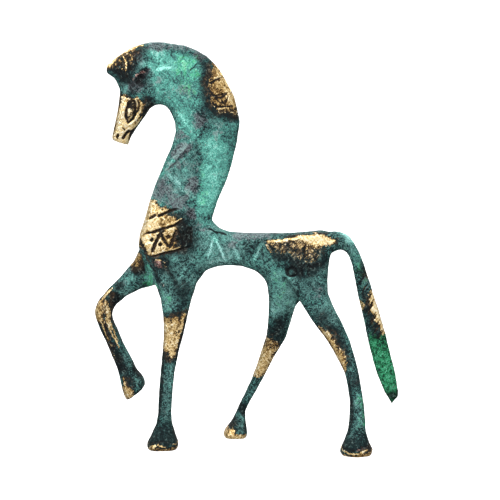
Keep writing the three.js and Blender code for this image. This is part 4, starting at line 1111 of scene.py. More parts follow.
@dataclass
class Skin:
    """The vertices of a mesh as arrays, with their places in the side view.

    Drawn lines and ragged edges stray by a wide and a narrow drift, each with its length in metres, and
    take their own shares of both, in grid units. The numbers of turning say how squarely a vertex looks
    sideways where it starts and where it ends to change flanks.
    """

    mesh: bpy.types.Mesh
    grid: Grid
    drifts: tuple[float, float] = (3.5 * MILLIMETRE, 0.9 * MILLIMETRE)
    line_shares: tuple[float, float] = (0.28, 0.14)
    edge_shares: tuple[float, float] = (0.6, 0.55)
    turning: tuple[float, float] = (0.1, 0.5)
    turning_away: tuple[float, float] = (0.15, 0.6)
    evening: int = 3
    points: np.ndarray = field(init=False)
    normals: np.ndarray = field(init=False)
    places: np.ndarray = field(init=False)
    drawn: np.ndarray = field(init=False)
    ragged: np.ndarray = field(init=False)
    near: np.ndarray = field(init=False)

    def __post_init__(self) -> None:
        """Reads the mesh for the first time."""
        self.read()

    def read(self) -> None:
        """Reads the mesh again after it has changed."""
        count = len(self.mesh.vertices)
        self.points = np.empty((count, 3), np.float32)
        self.normals = np.empty((count, 3), np.float32)
        self.mesh.vertices.foreach_get("co", self.points.ravel())
        self.mesh.vertex_normals.foreach_get("vector", self.normals.ravel())
        self.places = self.grid.side_view(self.points)
        drifts = [wandering(self.points, size) for size in self.drifts]
        self.drawn = self._strayed(drifts, self.line_shares)
        self.ragged = self._strayed(drifts, self.edge_shares)
        self.near = 1.0 - smooth_step(*self.turning_away, self.normals[:, 1])

    def _strayed(self, drifts: Sequence[np.ndarray], shares: tuple[float, float]) -> np.ndarray:
        """Moves the places by a share of the wide and of the narrow drift."""
        wide, narrow = drifts
        return self.places + wide * shares[0] + narrow * shares[1]

    def move(self, shift: np.ndarray) -> None:
        """Moves every vertex along its normal.

        Args:
            shift: How far each one moves out, in metres.
        """
        moved = self.points + self.normals * shift[:, None].astype(np.float32)
        moved[:, 2] = np.maximum(moved[:, 2], 0.0)
        self.mesh.vertices.foreach_set("co", moved.ravel())
        self.mesh.update()

    def facing(self, side: Side) -> np.ndarray:
        """Tells which vertices face out on one side, from 0 to 1."""
        return smooth_step(*self.turning, self.normals[:, 1] * side.value)

    def ridges(self) -> np.ndarray:
        """Measures how far each vertex stands out of the middle of its neighbours, in metres."""
        count = len(self.mesh.edges)
        ends = np.empty((count, 2), np.int32)
        self.mesh.edges.foreach_get("vertices", ends.ravel())
        pairs = np.concatenate((ends, ends[:, ::-1]))
        size = len(self.points)
        shared = np.bincount(pairs[:, 0], minlength=size)
        sums = [np.bincount(pairs[:, 0], self.points[pairs[:, 1], axis], size) for axis in range(3)]
        middle = np.stack(sums, axis=1) / shared[:, None]
        proud = np.einsum("ij,ij->i", self.points - middle, self.normals)
        for _ in range(self.evening):
            proud = (proud + np.bincount(pairs[:, 0], proud[pairs[:, 1]], size) / shared) / 2
        return proud

    def keep(self, name: str, value: np.ndarray) -> None:
        """Stores one number for each vertex as an attribute that the material reads."""
        layer = self.mesh.attributes.new(name, "FLOAT", "POINT")
        layer.data.foreach_set("value", value.astype(np.float32))


@dataclass(frozen=True)
class Head:
    """The relief of the head, in millimetres from the outlines of the eye and of the cheek's loop.

    Attributes:
        rim_width: How wide the eye's rim spreads.
        rim_height: How high it stands.
        socket: Where the eye's socket starts and where its floor is flat.
        socket_depth: How deep it is.
        boss: Where the cheek's boss starts and where its top is flat.
        boss_height: How high it stands.
    """

    rim_width: float = 0.45
    rim_height: float = 0.3
    socket: tuple[float, float] = (0.2, 1.0)
    socket_depth: float = 0.5
    boss: tuple[float, float] = (0.5, 1.3)
    boss_height: float = 0.35

    def relief(self, eye: np.ndarray, cheek: np.ndarray) -> tuple[np.ndarray, np.ndarray, np.ndarray]:
        """Works out how far the head's forms stand out.

        Args:
            eye: How far each vertex lies inside the eye, in metres.
            cheek: How far it lies inside the cheek's loop.

        Returns:
            The height of the eye's rim, the depth of its socket and the height of the boss, in metres.
        """
        rim = np.exp(-((eye / (self.rim_width * MILLIMETRE)) ** 2)) * self.rim_height * MILLIMETRE
        start, end = (depth * MILLIMETRE for depth in self.socket)
        socket = smooth_step(start, end, eye) * self.socket_depth * MILLIMETRE
        start, end = (depth * MILLIMETRE for depth in self.boss)
        boss = smooth_step(start, end, cheek) * self.boss_height * MILLIMETRE
        return rim, socket, boss


@dataclass(frozen=True)
class WearAndPaintedLight:
    """How the finishes meet on the casting, in shares unless it says otherwise.

    Attributes:
        full_ridge: How far a whole ridge stands out, in millimetres.
        stained: How squarely a place looks sideways where the stains and painted shade start and are
            whole.
        cut_soot: How strongly soot fills a cut.
        halo: How far the scorch reaches past the gilt, in grid units.
        stain_cover: How much of the scorch the stains and painted shade hide.
        gilt_gain: How fast the wear grows with the gilt.
        lip_wear: How much brighter the cuts' lips are.
        ridge_wear: How much brighter the ridges are.
        highlight_and_gilt: How bright the painted highlights and gilt lines are.
        cut_bloom: How much verdigris a cut holds.
        bloom_gain: How fast it fills.
        most: The largest number that is stored.
        front: How squarely a place looks forwards where the painted shade on it starts and ends.
        edge: How far it has turned off the flank there.
        painted_front_shade: How much darker the painted shade makes the front.
        painted_ridge_highlight: How much paler a painted highlight makes the ridges.
    """

    full_ridge: float = 0.02
    stained: tuple[float, float] = (0.1, 0.4)
    cut_soot: float = 1.6
    halo: float = 1.8
    stain_cover: float = 0.7
    gilt_gain: float = 2.0
    lip_wear: float = 0.22
    ridge_wear: float = 0.12
    highlight_and_gilt: float = 1.3
    cut_bloom: float = 0.7
    bloom_gain: float = 1.3
    most: float = 1.5
    front: tuple[float, float] = (0.1, 0.6)
    edge: tuple[float, float] = (0.7, 0.96)
    painted_front_shade: float = 0.4
    painted_ridge_highlight: float = 0.12


@dataclass
class Casting:
    """The horse itself: one bronze casting, finer than its solid and of the same form.

    The fine shin is the part of the side view that carries the thin gilt lines of the raised leg.
    """

    node: str = "horse"
    weld: float = 0.001 * MILLIMETRE
    voxel: float = 0.54 * MILLIMETRE
    softness: float = 0.5
    rounding: int = 6
    shrinkage: float = 0.05 * MILLIMETRE
    wave_size: float = 5 * MILLIMETRE
    waviness: float = 0.3 * MILLIMETRE
    grain_size: float = 0.9 * MILLIMETRE
    graininess: float = 0.16 * MILLIMETRE
    ornament: Ornament = field(default_factory=Ornament)
    head: Head = field(default_factory=Head)
    wear: WearAndPaintedLight = field(default_factory=WearAndPaintedLight)
    fine_shin: Path = ((-38.5, 37), (-33, 37), (-30.2, 26), (-32, 21), (-36, 26))
    piece: bpy.types.Object = field(init=False)
    grid: Grid = field(init=False)

    def build(self, nodes: Mapping[str, bpy.types.Object]) -> bpy.types.Object:
        """Makes the casting over its solid.

        Args:
            nodes: The frame's solids by name.

        Returns:
            The finished mesh object, without a material.
        """
        self.grid = Grid.of(*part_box(self.node))
        self.piece = self._copied(nodes[self.node])
        self._round_off()
        self._refine()
        skin = Skin(self.piece.data, self.grid)
        soot, bloom, lips = self._chisel(skin)
        self._dress(skin, soot, bloom, lips)
        bpy.ops.object.shade_smooth()
        return self.piece

    def _copied(self, node: bpy.types.Object) -> bpy.types.Object:
        """Copies the solid and joins its loose triangles."""
        select_only(node)
        bpy.ops.object.duplicate()
        piece = bpy.context.view_layer.objects.active
        piece.name = "horse_casting"
        piece.parent = None
        for key in list(piece.keys()):
            del piece[key]
        select_only(piece)
        bpy.ops.object.mode_set(mode="EDIT")
        bpy.ops.mesh.select_all(action="SELECT")
        bpy.ops.mesh.remove_doubles(threshold=self.weld)
        bpy.ops.object.mode_set(mode="OBJECT")
        return piece

    def _round_off(self) -> None:
        """Grows an even skin over the solid, softens its facets and makes it uneven, as cast metal is."""
        piece = self.piece
        apply_modifier(piece, "REMESH", mode="VOXEL", voxel_size=self.voxel)
        apply_modifier(piece, "SMOOTH", factor=self.softness, iterations=self.rounding)
        apply_modifier(piece, "DISPLACE", strength=self.shrinkage, mid_level=0.0)
        waves = clouds("waves", self.wave_size, 1)
        grains = clouds("grains", self.grain_size, 2)
        for pattern, strength in ((waves, self.waviness), (grains, self.graininess)):
            apply_modifier(piece, "DISPLACE", texture=pattern, texture_coords="LOCAL", strength=strength)

    def _refine(self) -> None:
        """Divides the faces that the ornament and the shin's gilt lines run over."""
        mesh = self.piece.data
        count = len(mesh.polygons)
        centres = np.empty((count, 3), np.float32)
        normals = np.empty((count, 3), np.float32)
        mesh.polygons.foreach_get("center", centres.ravel())
        mesh.polygons.foreach_get("normal", normals.ravel())
        places = self.grid.side_view(centres)
        near = normals[:, 1] < -FLANK
        either = np.abs(normals[:, 1]) > FLANK
        chosen = np.zeros(count, bool)
        for mark in self.ornament.marks():
            gap, _ = gap_to(mark.path, places)
            reach = (mark.chisel.width + 2 * self.voxel) / 2 / self.grid.unit
            chosen |= (gap < reach) & (either if mark.far else near)
        for dot in self.ornament.dots():
            gap = np.linalg.norm(places - dot, axis=1)
            chosen |= (gap * self.grid.unit < DRILL.width) & either
        chosen |= (depth_inside(self.fine_shin, places) > 0) & near
        select_only(self.piece)
        bpy.context.tool_settings.mesh_select_mode = (False, False, True)
        mesh.vertices.foreach_set("select", np.zeros(len(mesh.vertices), bool))
        mesh.edges.foreach_set("select", np.zeros(len(mesh.edges), bool))
        mesh.polygons.foreach_set("select", chosen)
        bpy.ops.object.mode_set(mode="EDIT")
        bpy.ops.mesh.subdivide(number_cuts=1)
        bpy.ops.object.mode_set(mode="OBJECT")
        apply_modifier(self.piece, "SMOOTH", factor=self.softness, iterations=1)

    def _chisel(self, skin: Skin) -> tuple[np.ndarray, np.ndarray, np.ndarray]:
        """Presses the ornament into the skin.

        Args:
            skin: The casting's vertices.

        Returns:
            How much soot and how much verdigris lies in the cuts at each vertex, and the cuts' lips.
        """
        count = len(skin.points)
        drawn = skin.drawn
        depth = np.zeros(count)
        lips = np.zeros(count)
        filled = {filling: np.zeros(count) for filling in Filling}
        flanks = {side: skin.facing(side) for side in Side}
        for mark in self.ornament.marks():
            reach = 2 * mark.chisel.width / self.grid.unit
            for side in Side if mark.far else (Side.NEAR,):
                corners = np.array(mark.path)
                close = (drawn > corners.min(axis=0) - reach) & (drawn < corners.max(axis=0) + reach)
                rows = np.flatnonzero(close.all(axis=1) & (flanks[side] > 0))
                gap, along = gap_to(mark.path, drawn[rows])
                groove, lip = mark.chisel.press(gap * self.grid.unit, along, mark.closed)
                groove *= flanks[side][rows]
                lip *= flanks[side][rows]
                depth[rows] = np.maximum(depth[rows], groove * mark.chisel.depth)
                lips[rows] = np.maximum(lips[rows], lip * mark.chisel.lip)
                filled[mark.filling][rows] = np.maximum(filled[mark.filling][rows], groove)
        for dot in self.ornament.dots():
            gap = np.linalg.norm(drawn - dot, axis=1) * self.grid.unit
            groove, _ = DRILL.press(gap, np.zeros(count), closed=True)
            groove *= np.maximum(flanks[Side.NEAR], flanks[Side.FAR])
            depth = np.maximum(depth, groove * DRILL.depth)
            filled[Filling.SOOT] = np.maximum(filled[Filling.SOOT], groove)
        lips *= 1.0 - np.clip(depth / FINE.depth, 0.0, 1.0)
        skin.move(self._modelled(skin) + lips - depth)
        skin.read()
        return filled[Filling.SOOT], filled[Filling.VERDIGRIS], lips / BOLD.lip

    def _modelled(self, skin: Skin) -> np.ndarray:
        """Works out how far the limbs' ridges and the head's relief stand out, in metres."""
        facing = np.maximum(skin.facing(Side.NEAR), skin.facing(Side.FAR))
        ridges = np.zeros(len(skin.points))
        for ridge in RIDGES:
            gap, along = gap_to(curved(ridge.path, 4), skin.places)
            ridges = np.maximum(ridges, ridge.rise(gap * self.grid.unit, along))
        loops = (self.ornament.eye, self.ornament.cheek)
        eye, cheek = (depth_inside(loop.outline(), skin.places) * self.grid.unit for loop in loops)
        rim, socket, boss = self.head.relief(eye, cheek)
        return (ridges + rim - socket + boss) * facing

    def _dress(self, skin: Skin, soot: np.ndarray, bloom: np.ndarray, lips: np.ndarray) -> None:
        """Stores where each finish lies.

        Args:
            skin: The casting's vertices, already chiselled.
            soot: How much soot lies in the cuts.
            bloom: How much verdigris lies in them.
            lips: Where the cuts' lips stand.
        """
        wear = self.wear
        sideways = np.abs(skin.normals[:, 1])
        ridges = np.clip(skin.ridges() / (wear.full_ridge * MILLIMETRE), -1.0, 1.0)
        fields = {name: highest(patches, skin) for name, patches in FINISHES.items()}
        # the stains include painted shade along the muzzle's edges and a painted shadow under its jaw
        stain_and_painted_shade = highest(STAINS_AND_PAINTED_SHADE, skin) * smooth_step(*wear.stained, sideways)
        highlight_and_gilt = highest(HIGHLIGHTS_AND_GILT_LINES, skin)
        cut = np.clip(soot * wear.cut_soot, 0.0, 1.0)
        fields["gilt"] = fields["rubbed"].copy()
        haloes = [replace(patch, spread=patch.spread + wear.halo) for patch in RUBBED]
        fields["scorch"] = highest(haloes, skin) * (1.0 - wear.stain_cover * stain_and_painted_shade)
        worn = np.clip(wear.gilt_gain * fields["gilt"], 0.0, 1.0)
        brightened = wear.lip_wear * np.clip(lips, 0.0, 1.0) + wear.ridge_wear * ridges
        fields["rubbed"] += worn * brightened
        fields["rubbed"] *= (1.0 - cut) * (1.0 - stain_and_painted_shade)
        fields["tarnish"] *= 1.0 - highlight_and_gilt
        # painted highlights and gilt lines raise the rubbed bronze towards its palest tones
        fields["rubbed"] = np.maximum(fields["rubbed"], wear.highlight_and_gilt * highlight_and_gilt * (1.0 - cut))
        fields["soot"] = np.maximum.reduce((fields["soot"], cut, stain_and_painted_shade)) * (1.0 - highlight_and_gilt * (1.0 - cut))
        filled = np.clip(bloom * wear.bloom_gain, 0.0, 1.0)
        fields["bloom"] = np.maximum(fields["bloom"], wear.cut_bloom * filled)
        for name, value in fields.items():
            skin.keep(name, np.clip(value, 0.0, wear.most))
        # painted shade darkens the places that turn forwards off the flank, and a painted highlight pales
        # the ridges
        front = smooth_step(*wear.front, -skin.normals[:, 0]) * smooth_step(*wear.edge, 1.0 - sideways)
        painted_light_and_tone = np.sum([patch.weight(skin) for patch in PAINTED_LIGHT_AND_TONE], axis=0)
        painted_light_and_tone = painted_light_and_tone + wear.painted_ridge_highlight * ridges - wear.painted_front_shade * front
        skin.keep("painted_light_and_tone", np.clip(painted_light_and_tone, -1.0, 1.0))


class Value:
    """A socket that shader maths can be written with."""

    def __init__(self, graph: Graph, socket: bpy.types.NodeSocket) -> None:
        """Keeps the graph and the socket that carries the value."""
        self.graph = graph
        self.socket = socket

    def __add__(self, other: Number) -> Value:
        """Adds."""
        return self.graph.maths("ADD", self, other)

    def __radd__(self, other: Number) -> Value:
        """Adds to a number on the left."""
        return self.graph.maths("ADD", other, self)

    def __sub__(self, other: Number) -> Value:
        """Takes away."""
        return self.graph.maths("SUBTRACT", self, other)

    def __rsub__(self, other: Number) -> Value:
        """Takes this away from a number on the left."""
        return self.graph.maths("SUBTRACT", other, self)

    def __mul__(self, other: Number) -> Value:
        """Multiplies."""
        return self.graph.maths("MULTIPLY", self, other)

    def __rmul__(self, other: Number) -> Value:
        """Multiplies a number on the left."""
        return self.graph.maths("MULTIPLY", other, self)

    def above(self, low: float, high: float) -> Value:
        """Rises smoothly from 0 at low to 1 at high."""
        settings = {"interpolation_type": "SMOOTHSTEP"}
        inputs = {"Value": self, "From Min": low, "From Max": high}
        return self.graph.node("ShaderNodeMapRange", settings, inputs)["Result"]

    def at_least(self, other: Number) -> Value:
        """Takes the larger of two values."""
        return self.graph.maths("MAXIMUM", self, other)


Number = Value | float
Input = Value | float | Colour


class Outputs:
    """The outputs of a node, by name or by number."""

    def __init__(self, graph: Graph, node: bpy.types.Node) -> None:
        """Keeps the graph and the node."""
        self.graph = graph
        self.node = node

    def __getitem__(self, key: str | int) -> Value:
        """Gives one output as a value."""
        return Value(self.graph, self.node.outputs[key])


class Graph:
    """The node tree of a material or of the room, written as expressions."""

    def __init__(self, owner: bpy.types.Material | bpy.types.World) -> None:
        """Empties the owner's tree and keeps it."""
        owner.use_nodes = True
        self.tree = owner.node_tree
        self.tree.nodes.clear()

    def node(
        self,
        kind: str,
        settings: Mapping[str, object] | None = None,
        inputs: Mapping[str | int, Input] | None = None,
    ) -> Outputs:
        """Adds a node.

        Args:
            kind: The node's type.
            settings: Its own settings, which are set first.
            inputs: The values or links of its sockets.

        Returns:
            The node's outputs.
        """
        node = self.tree.nodes.new(kind)
        for name, value in (settings or {}).items():
            if name == "stops":
                self._set_stops(node.color_ramp, value)
            else:
                setattr(node, name, value)
        for key, value in (inputs or {}).items():
            if isinstance(value, Value):
                self.tree.links.new(value.socket, node.inputs[key])
            elif isinstance(value, tuple) and len(value) == 3 and node.inputs[key].type == "RGBA":
                node.inputs[key].default_value = (*value, 1.0)
            else:
                node.inputs[key].default_value = value
        return Outputs(self, node)

    def _set_stops(self, ramp: bpy.types.ColorRamp, stops: Sequence[tuple[float, Colour]]) -> None:
        """Gives a ramp its stops, each a place from 0 to 1 and a colour."""
        while len(ramp.elements) > 1:
            ramp.elements.remove(ramp.elements[-1])
        for i, (at, colour) in enumerate(stops):
            stop = ramp.elements[0] if i == 0 else ramp.elements.new(at)
            stop.position = at
            stop.color = (*colour, 1.0)

    def maths(self, operation: str, first: Number, second: Number) -> Value:
        """Adds a Math node for one operation on two numbers."""
        return self.node("ShaderNodeMath", {"operation": operation}, {0: first, 1: second})[0]

    def mix(self, share: Number, under: Input, over: Input) -> Value:
        """Lays one colour over another by a share."""
        inputs = {"Factor": share, 6: under, 7: over}
        return self.node("ShaderNodeMix", {"data_type": "RGBA"}, inputs)[2]

    def stored(self, name: str) -> Value:
        """Reads a number that the mesh stores at each vertex."""
        return self.node("ShaderNodeAttribute", {"attribute_name": name})["Fac"]

    def tones(self, share: Value, colours: Sequence[Colour]) -> Value:
        """Reads a colour from an even row of tones.

        Args:
            share: Where to read, from 0 for the first tone to 1 for the last.
            colours: The tones.

        Returns:
            The colour.
        """
        last = len(colours) - 1
        stops = [(i / last, colour) for i, colour in enumerate(colours)]
        return self.node("ShaderNodeValToRGB", {"stops": stops}, {"Fac": share})["Color"]

    def swing(
        self, place: Value, size: float, detail: float, roughness: float, stir: float = 0.0
    ) -> Value:
        """Adds a noise pattern that swings on both sides of zero.

        Args:
            place: Where the pattern is read.
            size: The size of its lumps, in metres.
            detail: How many finer layers it has.
            roughness: How strong they are.
            stir: How far its lumps are drawn out into swirls.

        Returns:
            The pattern, mostly between -1 and 1.
        """
        inputs = {
            "Vector": place,
            "Scale": 1.0 / size,
            "Detail": detail,
            "Roughness": roughness,
            "Distortion": stir,
        }
        middle, gain = 0.5, 4.0
        return (self.node("ShaderNodeTexNoise", None, inputs)["Fac"] - middle) * gain


class Patterns(NamedTuple):
    """The patterns that break up every finish, from the finest to the widest, and the scratches."""

    speck: Value
    grain: Value
    cloud: Value
    drift: Value
    scratches: Value


@dataclass(frozen=True)
class Patina:
    """Verdigris over a dark ground, rubbed through to the bronze: its colours and its grain.

    Each crust is a row of tones from its darkest pits to its palest flecks. The sizes of the patterns
    and the depth of the relief are in metres.
    """

    verdigris: tuple[Colour, ...] = (
        (0.008, 0.015, 0.017),
        (0.02, 0.05, 0.052),
        (0.046, 0.132, 0.124),
        (0.078, 0.262, 0.224),
        (0.12, 0.46, 0.37),
        (0.4, 0.88, 0.78),
    )
    umber: tuple[Colour, ...] = (
        (0.01, 0.009, 0.011),
        (0.042, 0.038, 0.046),
        (0.1, 0.095, 0.11),
        (0.17, 0.2, 0.215),
        (0.26, 0.38, 0.37),
        (0.5, 0.66, 0.63),
    )
    slate: tuple[Colour, ...] = (
        (0.005, 0.011, 0.012),
        (0.015, 0.036, 0.037),
        (0.05, 0.106, 0.101),
        (0.096, 0.212, 0.198),
        (0.175, 0.39, 0.36),
        (0.42, 0.72, 0.69),
    )
    leaf: tuple[Colour, ...] = (
        (0.004, 0.014, 0.009),
        (0.008, 0.045, 0.024),
        (0.016, 0.12, 0.055),
        (0.03, 0.24, 0.1),
        (0.055, 0.43, 0.21),
        (0.25, 0.72, 0.48),
    )
    soot: Colour = (0.005, 0.005, 0.006)
    ash: Colour = (0.11, 0.17, 0.16)
    burnt: Colour = (0.024, 0.015, 0.01)
    # the bare bronze's tones, from its pits up to its two palest, which are painted highlights
    bronze: tuple[Colour, ...] = (
        (0.012, 0.008, 0.005),
        (0.08, 0.045, 0.018),
        (0.31, 0.184, 0.068),
        (0.66, 0.455, 0.182),
        (0.96, 0.79, 0.46),
        (1.0, 0.96, 0.8),
    )
    brown: Colour = (0.19, 0.12, 0.07)
    copper: Colour = (0.85, 0.6, 0.52)
    liver: Colour = (0.19, 0.05, 0.045)
    speck: float = 0.43 * MILLIMETRE
    grain: float = 1.1 * MILLIMETRE
    cloud: float = 3.0 * MILLIMETRE
    drift: float = 9.0 * MILLIMETRE
    scratch: float = 0.55 * MILLIMETRE
    scratch_ways: tuple[float, float] = (0.9, -0.7)
    scratch_length: float = 7.0
    relief: float = 0.25 * MILLIMETRE
    relief_strength: float = 0.6
    matt: float = 0.62
    polish: float = 0.26
    metallic: float = 0.8
    specular: float = 0.06

    def material(self) -> bpy.types.Material:
        """Makes the material.

        Returns:
            A procedural material that reads Object coordinates and the casting's stored numbers.
        """
        made = bpy.data.materials.new("patinated_bronze")
        graph = Graph(made)
        place = graph.node("ShaderNodeTexCoord")["Object"]
        speck = graph.swing(place, self.speck, 2.0, 0.6)
        grain = graph.swing(place, self.grain, 3.0, 0.6, 0.8)
        cloud = graph.swing(place, self.cloud, 3.0, 0.6, 0.8)
        drift = graph.swing(place, self.drift, 2.0, 0.5)
        scratches = self._scratches(graph, place)
        patterns = Patterns(speck, grain, cloud, drift, scratches)
        crust = self._crust(graph, patterns)
        rub = graph.stored("rubbed")
        bare = (rub + grain * 0.4 + speck * 0.44 + cloud * 0.12).above(0.41, 0.59) * rub.above(0.08, 0.36)
        metal = self._metal(graph, patterns, rub)
        colour = graph.mix(bare, crust, metal)
        roughness = self.matt - self.polish * bare + 0.1 * speck
        height = grain * 0.35 + speck * 0.4 + scratches * 0.3 * bare - bare * 0.12
        inputs = {"Strength": self.relief_strength, "Distance": self.relief, "Height": height}
        bump = graph.node("ShaderNodeBump", None, inputs)
        inputs = {
            "Base Color": colour,
            "Metallic": bare * self.metallic,
            "Roughness": roughness,
            "Specular IOR Level": self.specular,
            "Normal": bump["Normal"],
        }
        skin = graph.node("ShaderNodeBsdfPrincipled", None, inputs)
        graph.node("ShaderNodeOutputMaterial", None, {"Surface": skin["BSDF"]})
        return made

    def _scratches(self, graph: Graph, place: Value) -> Value:
        """Makes the crossed scratches that rubbing leaves, above and below zero."""
        ways = []
        for turn in self.scratch_ways:
            settings = {"vector_type": "TEXTURE"}
            scale = (self.scratch_length, 1.0, 1.0)
            inputs = {"Vector": place, "Rotation": (0.0, turn, 0.0), "Scale": scale}
            along = graph.node("ShaderNodeMapping", settings, inputs)["Vector"]
            ways.append(graph.swing(along, self.scratch, 2.0, 0.5))
        return ways[0].at_least(ways[1]) - 0.2

    def _crust(self, graph: Graph, patterns: Patterns) -> Value:
        """Colours the verdigris, its slate, umber and green patches and the soot in its hollows.

        Where one finish gives way to the next, the patterns break up the edge, each by its own weight.

        Args:
            graph: The material's tree.
            patterns: The patterns that the crust is broken up by.

        Returns:
            The crust's colour.
        """
        speck, grain, cloud, drift, scratches = patterns
        bloom = graph.stored("bloom")
        umber = graph.stored("umber")
        leaf = graph.stored("leaf_green")
        soot = graph.stored("soot")
        # the stored painted light and shade, with its shifts of tone, lightens and darkens the crust
        tone = 0.23 + bloom * 0.5 + graph.stored("painted_light_and_tone") * 0.4 + drift * 0.05 + cloud * 0.2
        mottling = grain * 0.32 + speck * 0.5 + scratches * 0.2
        tone = tone + mottling * (1.26 - bloom * 0.66) - soot * 0.16
        crust = graph.tones(tone, self.verdigris)
        dull = (graph.stored("slate") + cloud * 0.3 + drift * 0.3).above(0.3, 0.9)
        crust = graph.mix(dull * 0.85, crust, graph.tones(tone, self.slate))
        earthy = (umber + drift * 0.2 + cloud * 0.5 + grain * 0.55 + speck * 0.35).above(0.4, 0.82)
        crust = graph.mix(earthy * 0.84, crust, graph.tones(tone - umber * 0.1, self.umber))
        green = (leaf + cloud * 0.4 + grain * 0.35).above(0.3, 0.75)
        crust = graph.mix(green * 0.95, crust, graph.tones(tone + leaf * 0.12, self.leaf))
        red = (graph.stored("copper") + grain * 0.6 + speck * 0.3).above(0.45, 0.7)
        reddened = graph.mix((speck - grain).above(-0.5, 0.5), self.liver, self.copper)
        crust = graph.mix(red * 0.8, crust, reddened)
        gilt = graph.stored("gilt").above(0.05, 0.35)
        black = (soot.at_least(gilt * 0.95) + grain * 0.6 + speck * 0.7 + cloud * 0.35).above(0.3, 0.86)
        flecks = (scratches * 0.6 + grain * 0.7 - speck * 1.0 - soot * 0.5).above(-0.3, 0.7)
        scorch = graph.stored("scorch").above(0.02, 0.36)
        deep = graph.mix(scorch, self.soot, self.burnt)
        pale = graph.mix(scorch, self.ash, self.brown)
        return graph.mix(black * 0.94, crust, graph.mix(flecks, deep, pale))

    def _metal(self, graph: Graph, patterns: Patterns, rub: Value) -> Value:
        """Colours the bare bronze, tarnished in its pits and at the edges of the rubbed places.

        Args:
            graph: The material's tree.
            patterns: The patterns that the metal's tone varies by.
            rub: How far the patina is rubbed through, raised further where painted highlights lie.

        Returns:
            The metal's colour.
        """
        tone = 0.27 + rub * 0.38 - graph.stored("tarnish") * 0.6
        texture = patterns.grain * 0.3 + patterns.speck * 0.4 + patterns.scratches * 0.36
        return graph.tones(tone + texture * (1.5 - rub * 0.7), self.bronze)


@dataclass(frozen=True)
class SoftBox:
    """One square light, by its name, its place and size in metres, and its power in watts."""

    name: str
    at: Point
    size: float
    power: float

    def hang(self, aim: Point) -> None:
        """Hangs the light so that it looks at one point.

        Args:
            aim: The point, in metres.
        """
        lamp = bpy.data.lights.new(self.name, "AREA")
        lamp.size = self.size
        lamp.energy = self.power
        light = bpy.data.objects.new(self.name, lamp)
        light.location = self.at
        light.rotation_euler = (Vector(aim) - Vector(self.at)).to_track_quat("-Z", "Y").to_euler()
        bpy.context.scene.collection.objects.link(light)


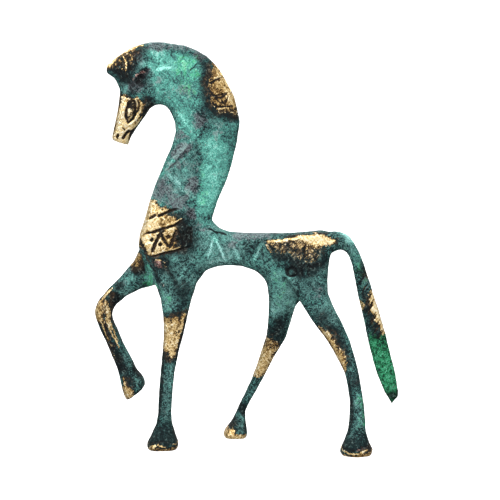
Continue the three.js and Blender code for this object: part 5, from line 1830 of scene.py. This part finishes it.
@dataclass
class Studio:
    """A pale sweep of paper that glows a little, soft lights and the camera.

    The camera looks at the aim from its elevation and distance. The pixel is the length that one pixel of
    the picture covers there.
    """

    elevation: float = math.radians(11)
    distance: float = 0.63
    pixel: float = 0.3542 * MILLIMETRE
    width: int = 500
    sensor: float = 36.0
    aim: Point = (0.00121, 0.0, 0.0716)
    sweep_reach: float = 3.0
    sweep_bend: float = 1.4
    sweep_glow: float = 0.55
    white: Colour = (1.0, 1.0, 1.0)
    paper: tuple[Colour, Colour] = ((0.9, 0.9, 0.9), (0.94, 0.94, 0.94))
    boxes: tuple[SoftBox, ...] = (
        SoftBox("key", (-0.6, -0.6, 0.85), size=0.35, power=9.5),
        SoftBox("fill", (0.8, -0.6, 0.3), size=0.5, power=1.5),
        SoftBox("back", (0.5, 0.7, 0.8), size=0.4, power=6.0),
    )

    def build(self) -> None:
        """Sets the whole studio up."""
        self._sweep()
        self._room()
        for box in self.boxes:
            box.hang(self.aim)
        self._camera()
        scene = bpy.context.scene
        scene.view_settings.view_transform = "Standard"
        scene.view_settings.look = "None"

    def _sweep(self) -> None:
        """Makes the paper: a floor that curves up on all four sides."""
        reach = self.sweep_reach
        bpy.ops.mesh.primitive_plane_add(size=2 * reach, location=(0.0, 0.0, 0.0))
        paper = bpy.context.object
        paper.name = "paper_sweep"
        bpy.ops.object.mode_set(mode="EDIT")
        bpy.context.tool_settings.mesh_select_mode = (False, True, False)
        bpy.ops.mesh.select_all(action="SELECT")
        bpy.ops.mesh.extrude_edges_move(TRANSFORM_OT_translate={"value": (0.0, 0.0, reach)})
        bpy.ops.mesh.select_all(action="SELECT")
        bpy.ops.mesh.normals_make_consistent(inside=True)
        bpy.ops.object.mode_set(mode="OBJECT")
        sharp = {"limit_method": "ANGLE", "angle_limit": math.radians(60)}
        apply_modifier(paper, "BEVEL", width=self.sweep_bend, segments=24, **sharp)
        bpy.ops.object.shade_smooth()
        made = bpy.data.materials.new("white_paper")
        graph = Graph(made)
        place = graph.node("ShaderNodeTexCoord")["Object"]
        fibre = graph.swing(place, 0.5 * MILLIMETRE, 2.0, 0.5)
        tone = graph.mix(fibre.above(-0.5, 0.5), *self.paper)
        inputs = {
            "Base Color": tone,
            "Roughness": 0.9,
            "Emission Color": self.white,
            "Emission Strength": self.sweep_glow,
        }
        skin = graph.node("ShaderNodeBsdfPrincipled", None, inputs)
        graph.node("ShaderNodeOutputMaterial", None, {"Surface": skin["BSDF"]})
        paper.data.materials.append(made)
        paper.visible_diffuse = False
        paper.visible_glossy = False
        paper.visible_shadow = False

    def _room(self) -> None:
        """Lights the room softly from its front, back and ceiling and leaves its two ends dim."""
        world = bpy.data.worlds.new("soft_room")
        graph = Graph(world)
        bearing = graph.node("ShaderNodeTexCoord")["Generated"]
        parts = graph.node("ShaderNodeSeparateXYZ", None, {"Vector": bearing})
        ends = graph.node("ShaderNodeMath", {"operation": "ABSOLUTE"}, {0: parts["X"]})[0]
        closed_end = ends.above(0.4, 0.95)
        height = parts["Z"].above(-0.7, 0.7)
        strength = (1.0 - closed_end * 0.76) * (0.56 + height * 0.74)
        inputs = {"Color": self.white, "Strength": strength}
        glow = graph.node("ShaderNodeBackground", None, inputs)
        graph.node("ShaderNodeOutputWorld", None, {"Surface": glow["Background"]})
        bpy.context.scene.world = world

    def _camera(self) -> None:
        """Sets the camera where the photograph was taken from."""
        lens = bpy.data.cameras.new("camera")
        lens.sensor_width = self.sensor
        lens.lens = self.sensor * self.distance / (self.pixel * self.width)
        lens.clip_start = 0.01
        camera = bpy.data.objects.new("camera", lens)
        back = Vector((0.0, -math.cos(self.elevation), math.sin(self.elevation)))
        camera.location = Vector(self.aim) + back * self.distance
        camera.rotation_euler = (math.pi / 2 - self.elevation, 0.0, 0.0)
        bpy.context.scene.collection.objects.link(camera)
        bpy.context.scene.camera = camera


def main() -> None:
    """Builds the horse around the frame and the studio around the horse."""
    logging.basicConfig(level=logging.INFO, format="%(name)s: %(message)s")
    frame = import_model()
    Studio().build()
    casting = Casting()
    horse = casting.build(frame["nodes"])
    horse.data.materials.clear()
    horse.data.materials.append(Patina().material())
    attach(horse, "root")
    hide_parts(casting.node)
    triangles = sum(len(face.vertices) - 2 for face in horse.data.polygons)
    LOG.info("%s has %d vertices and %d triangles", horse.name, len(horse.data.vertices), triangles)


if __name__ == "__main__":
    main()
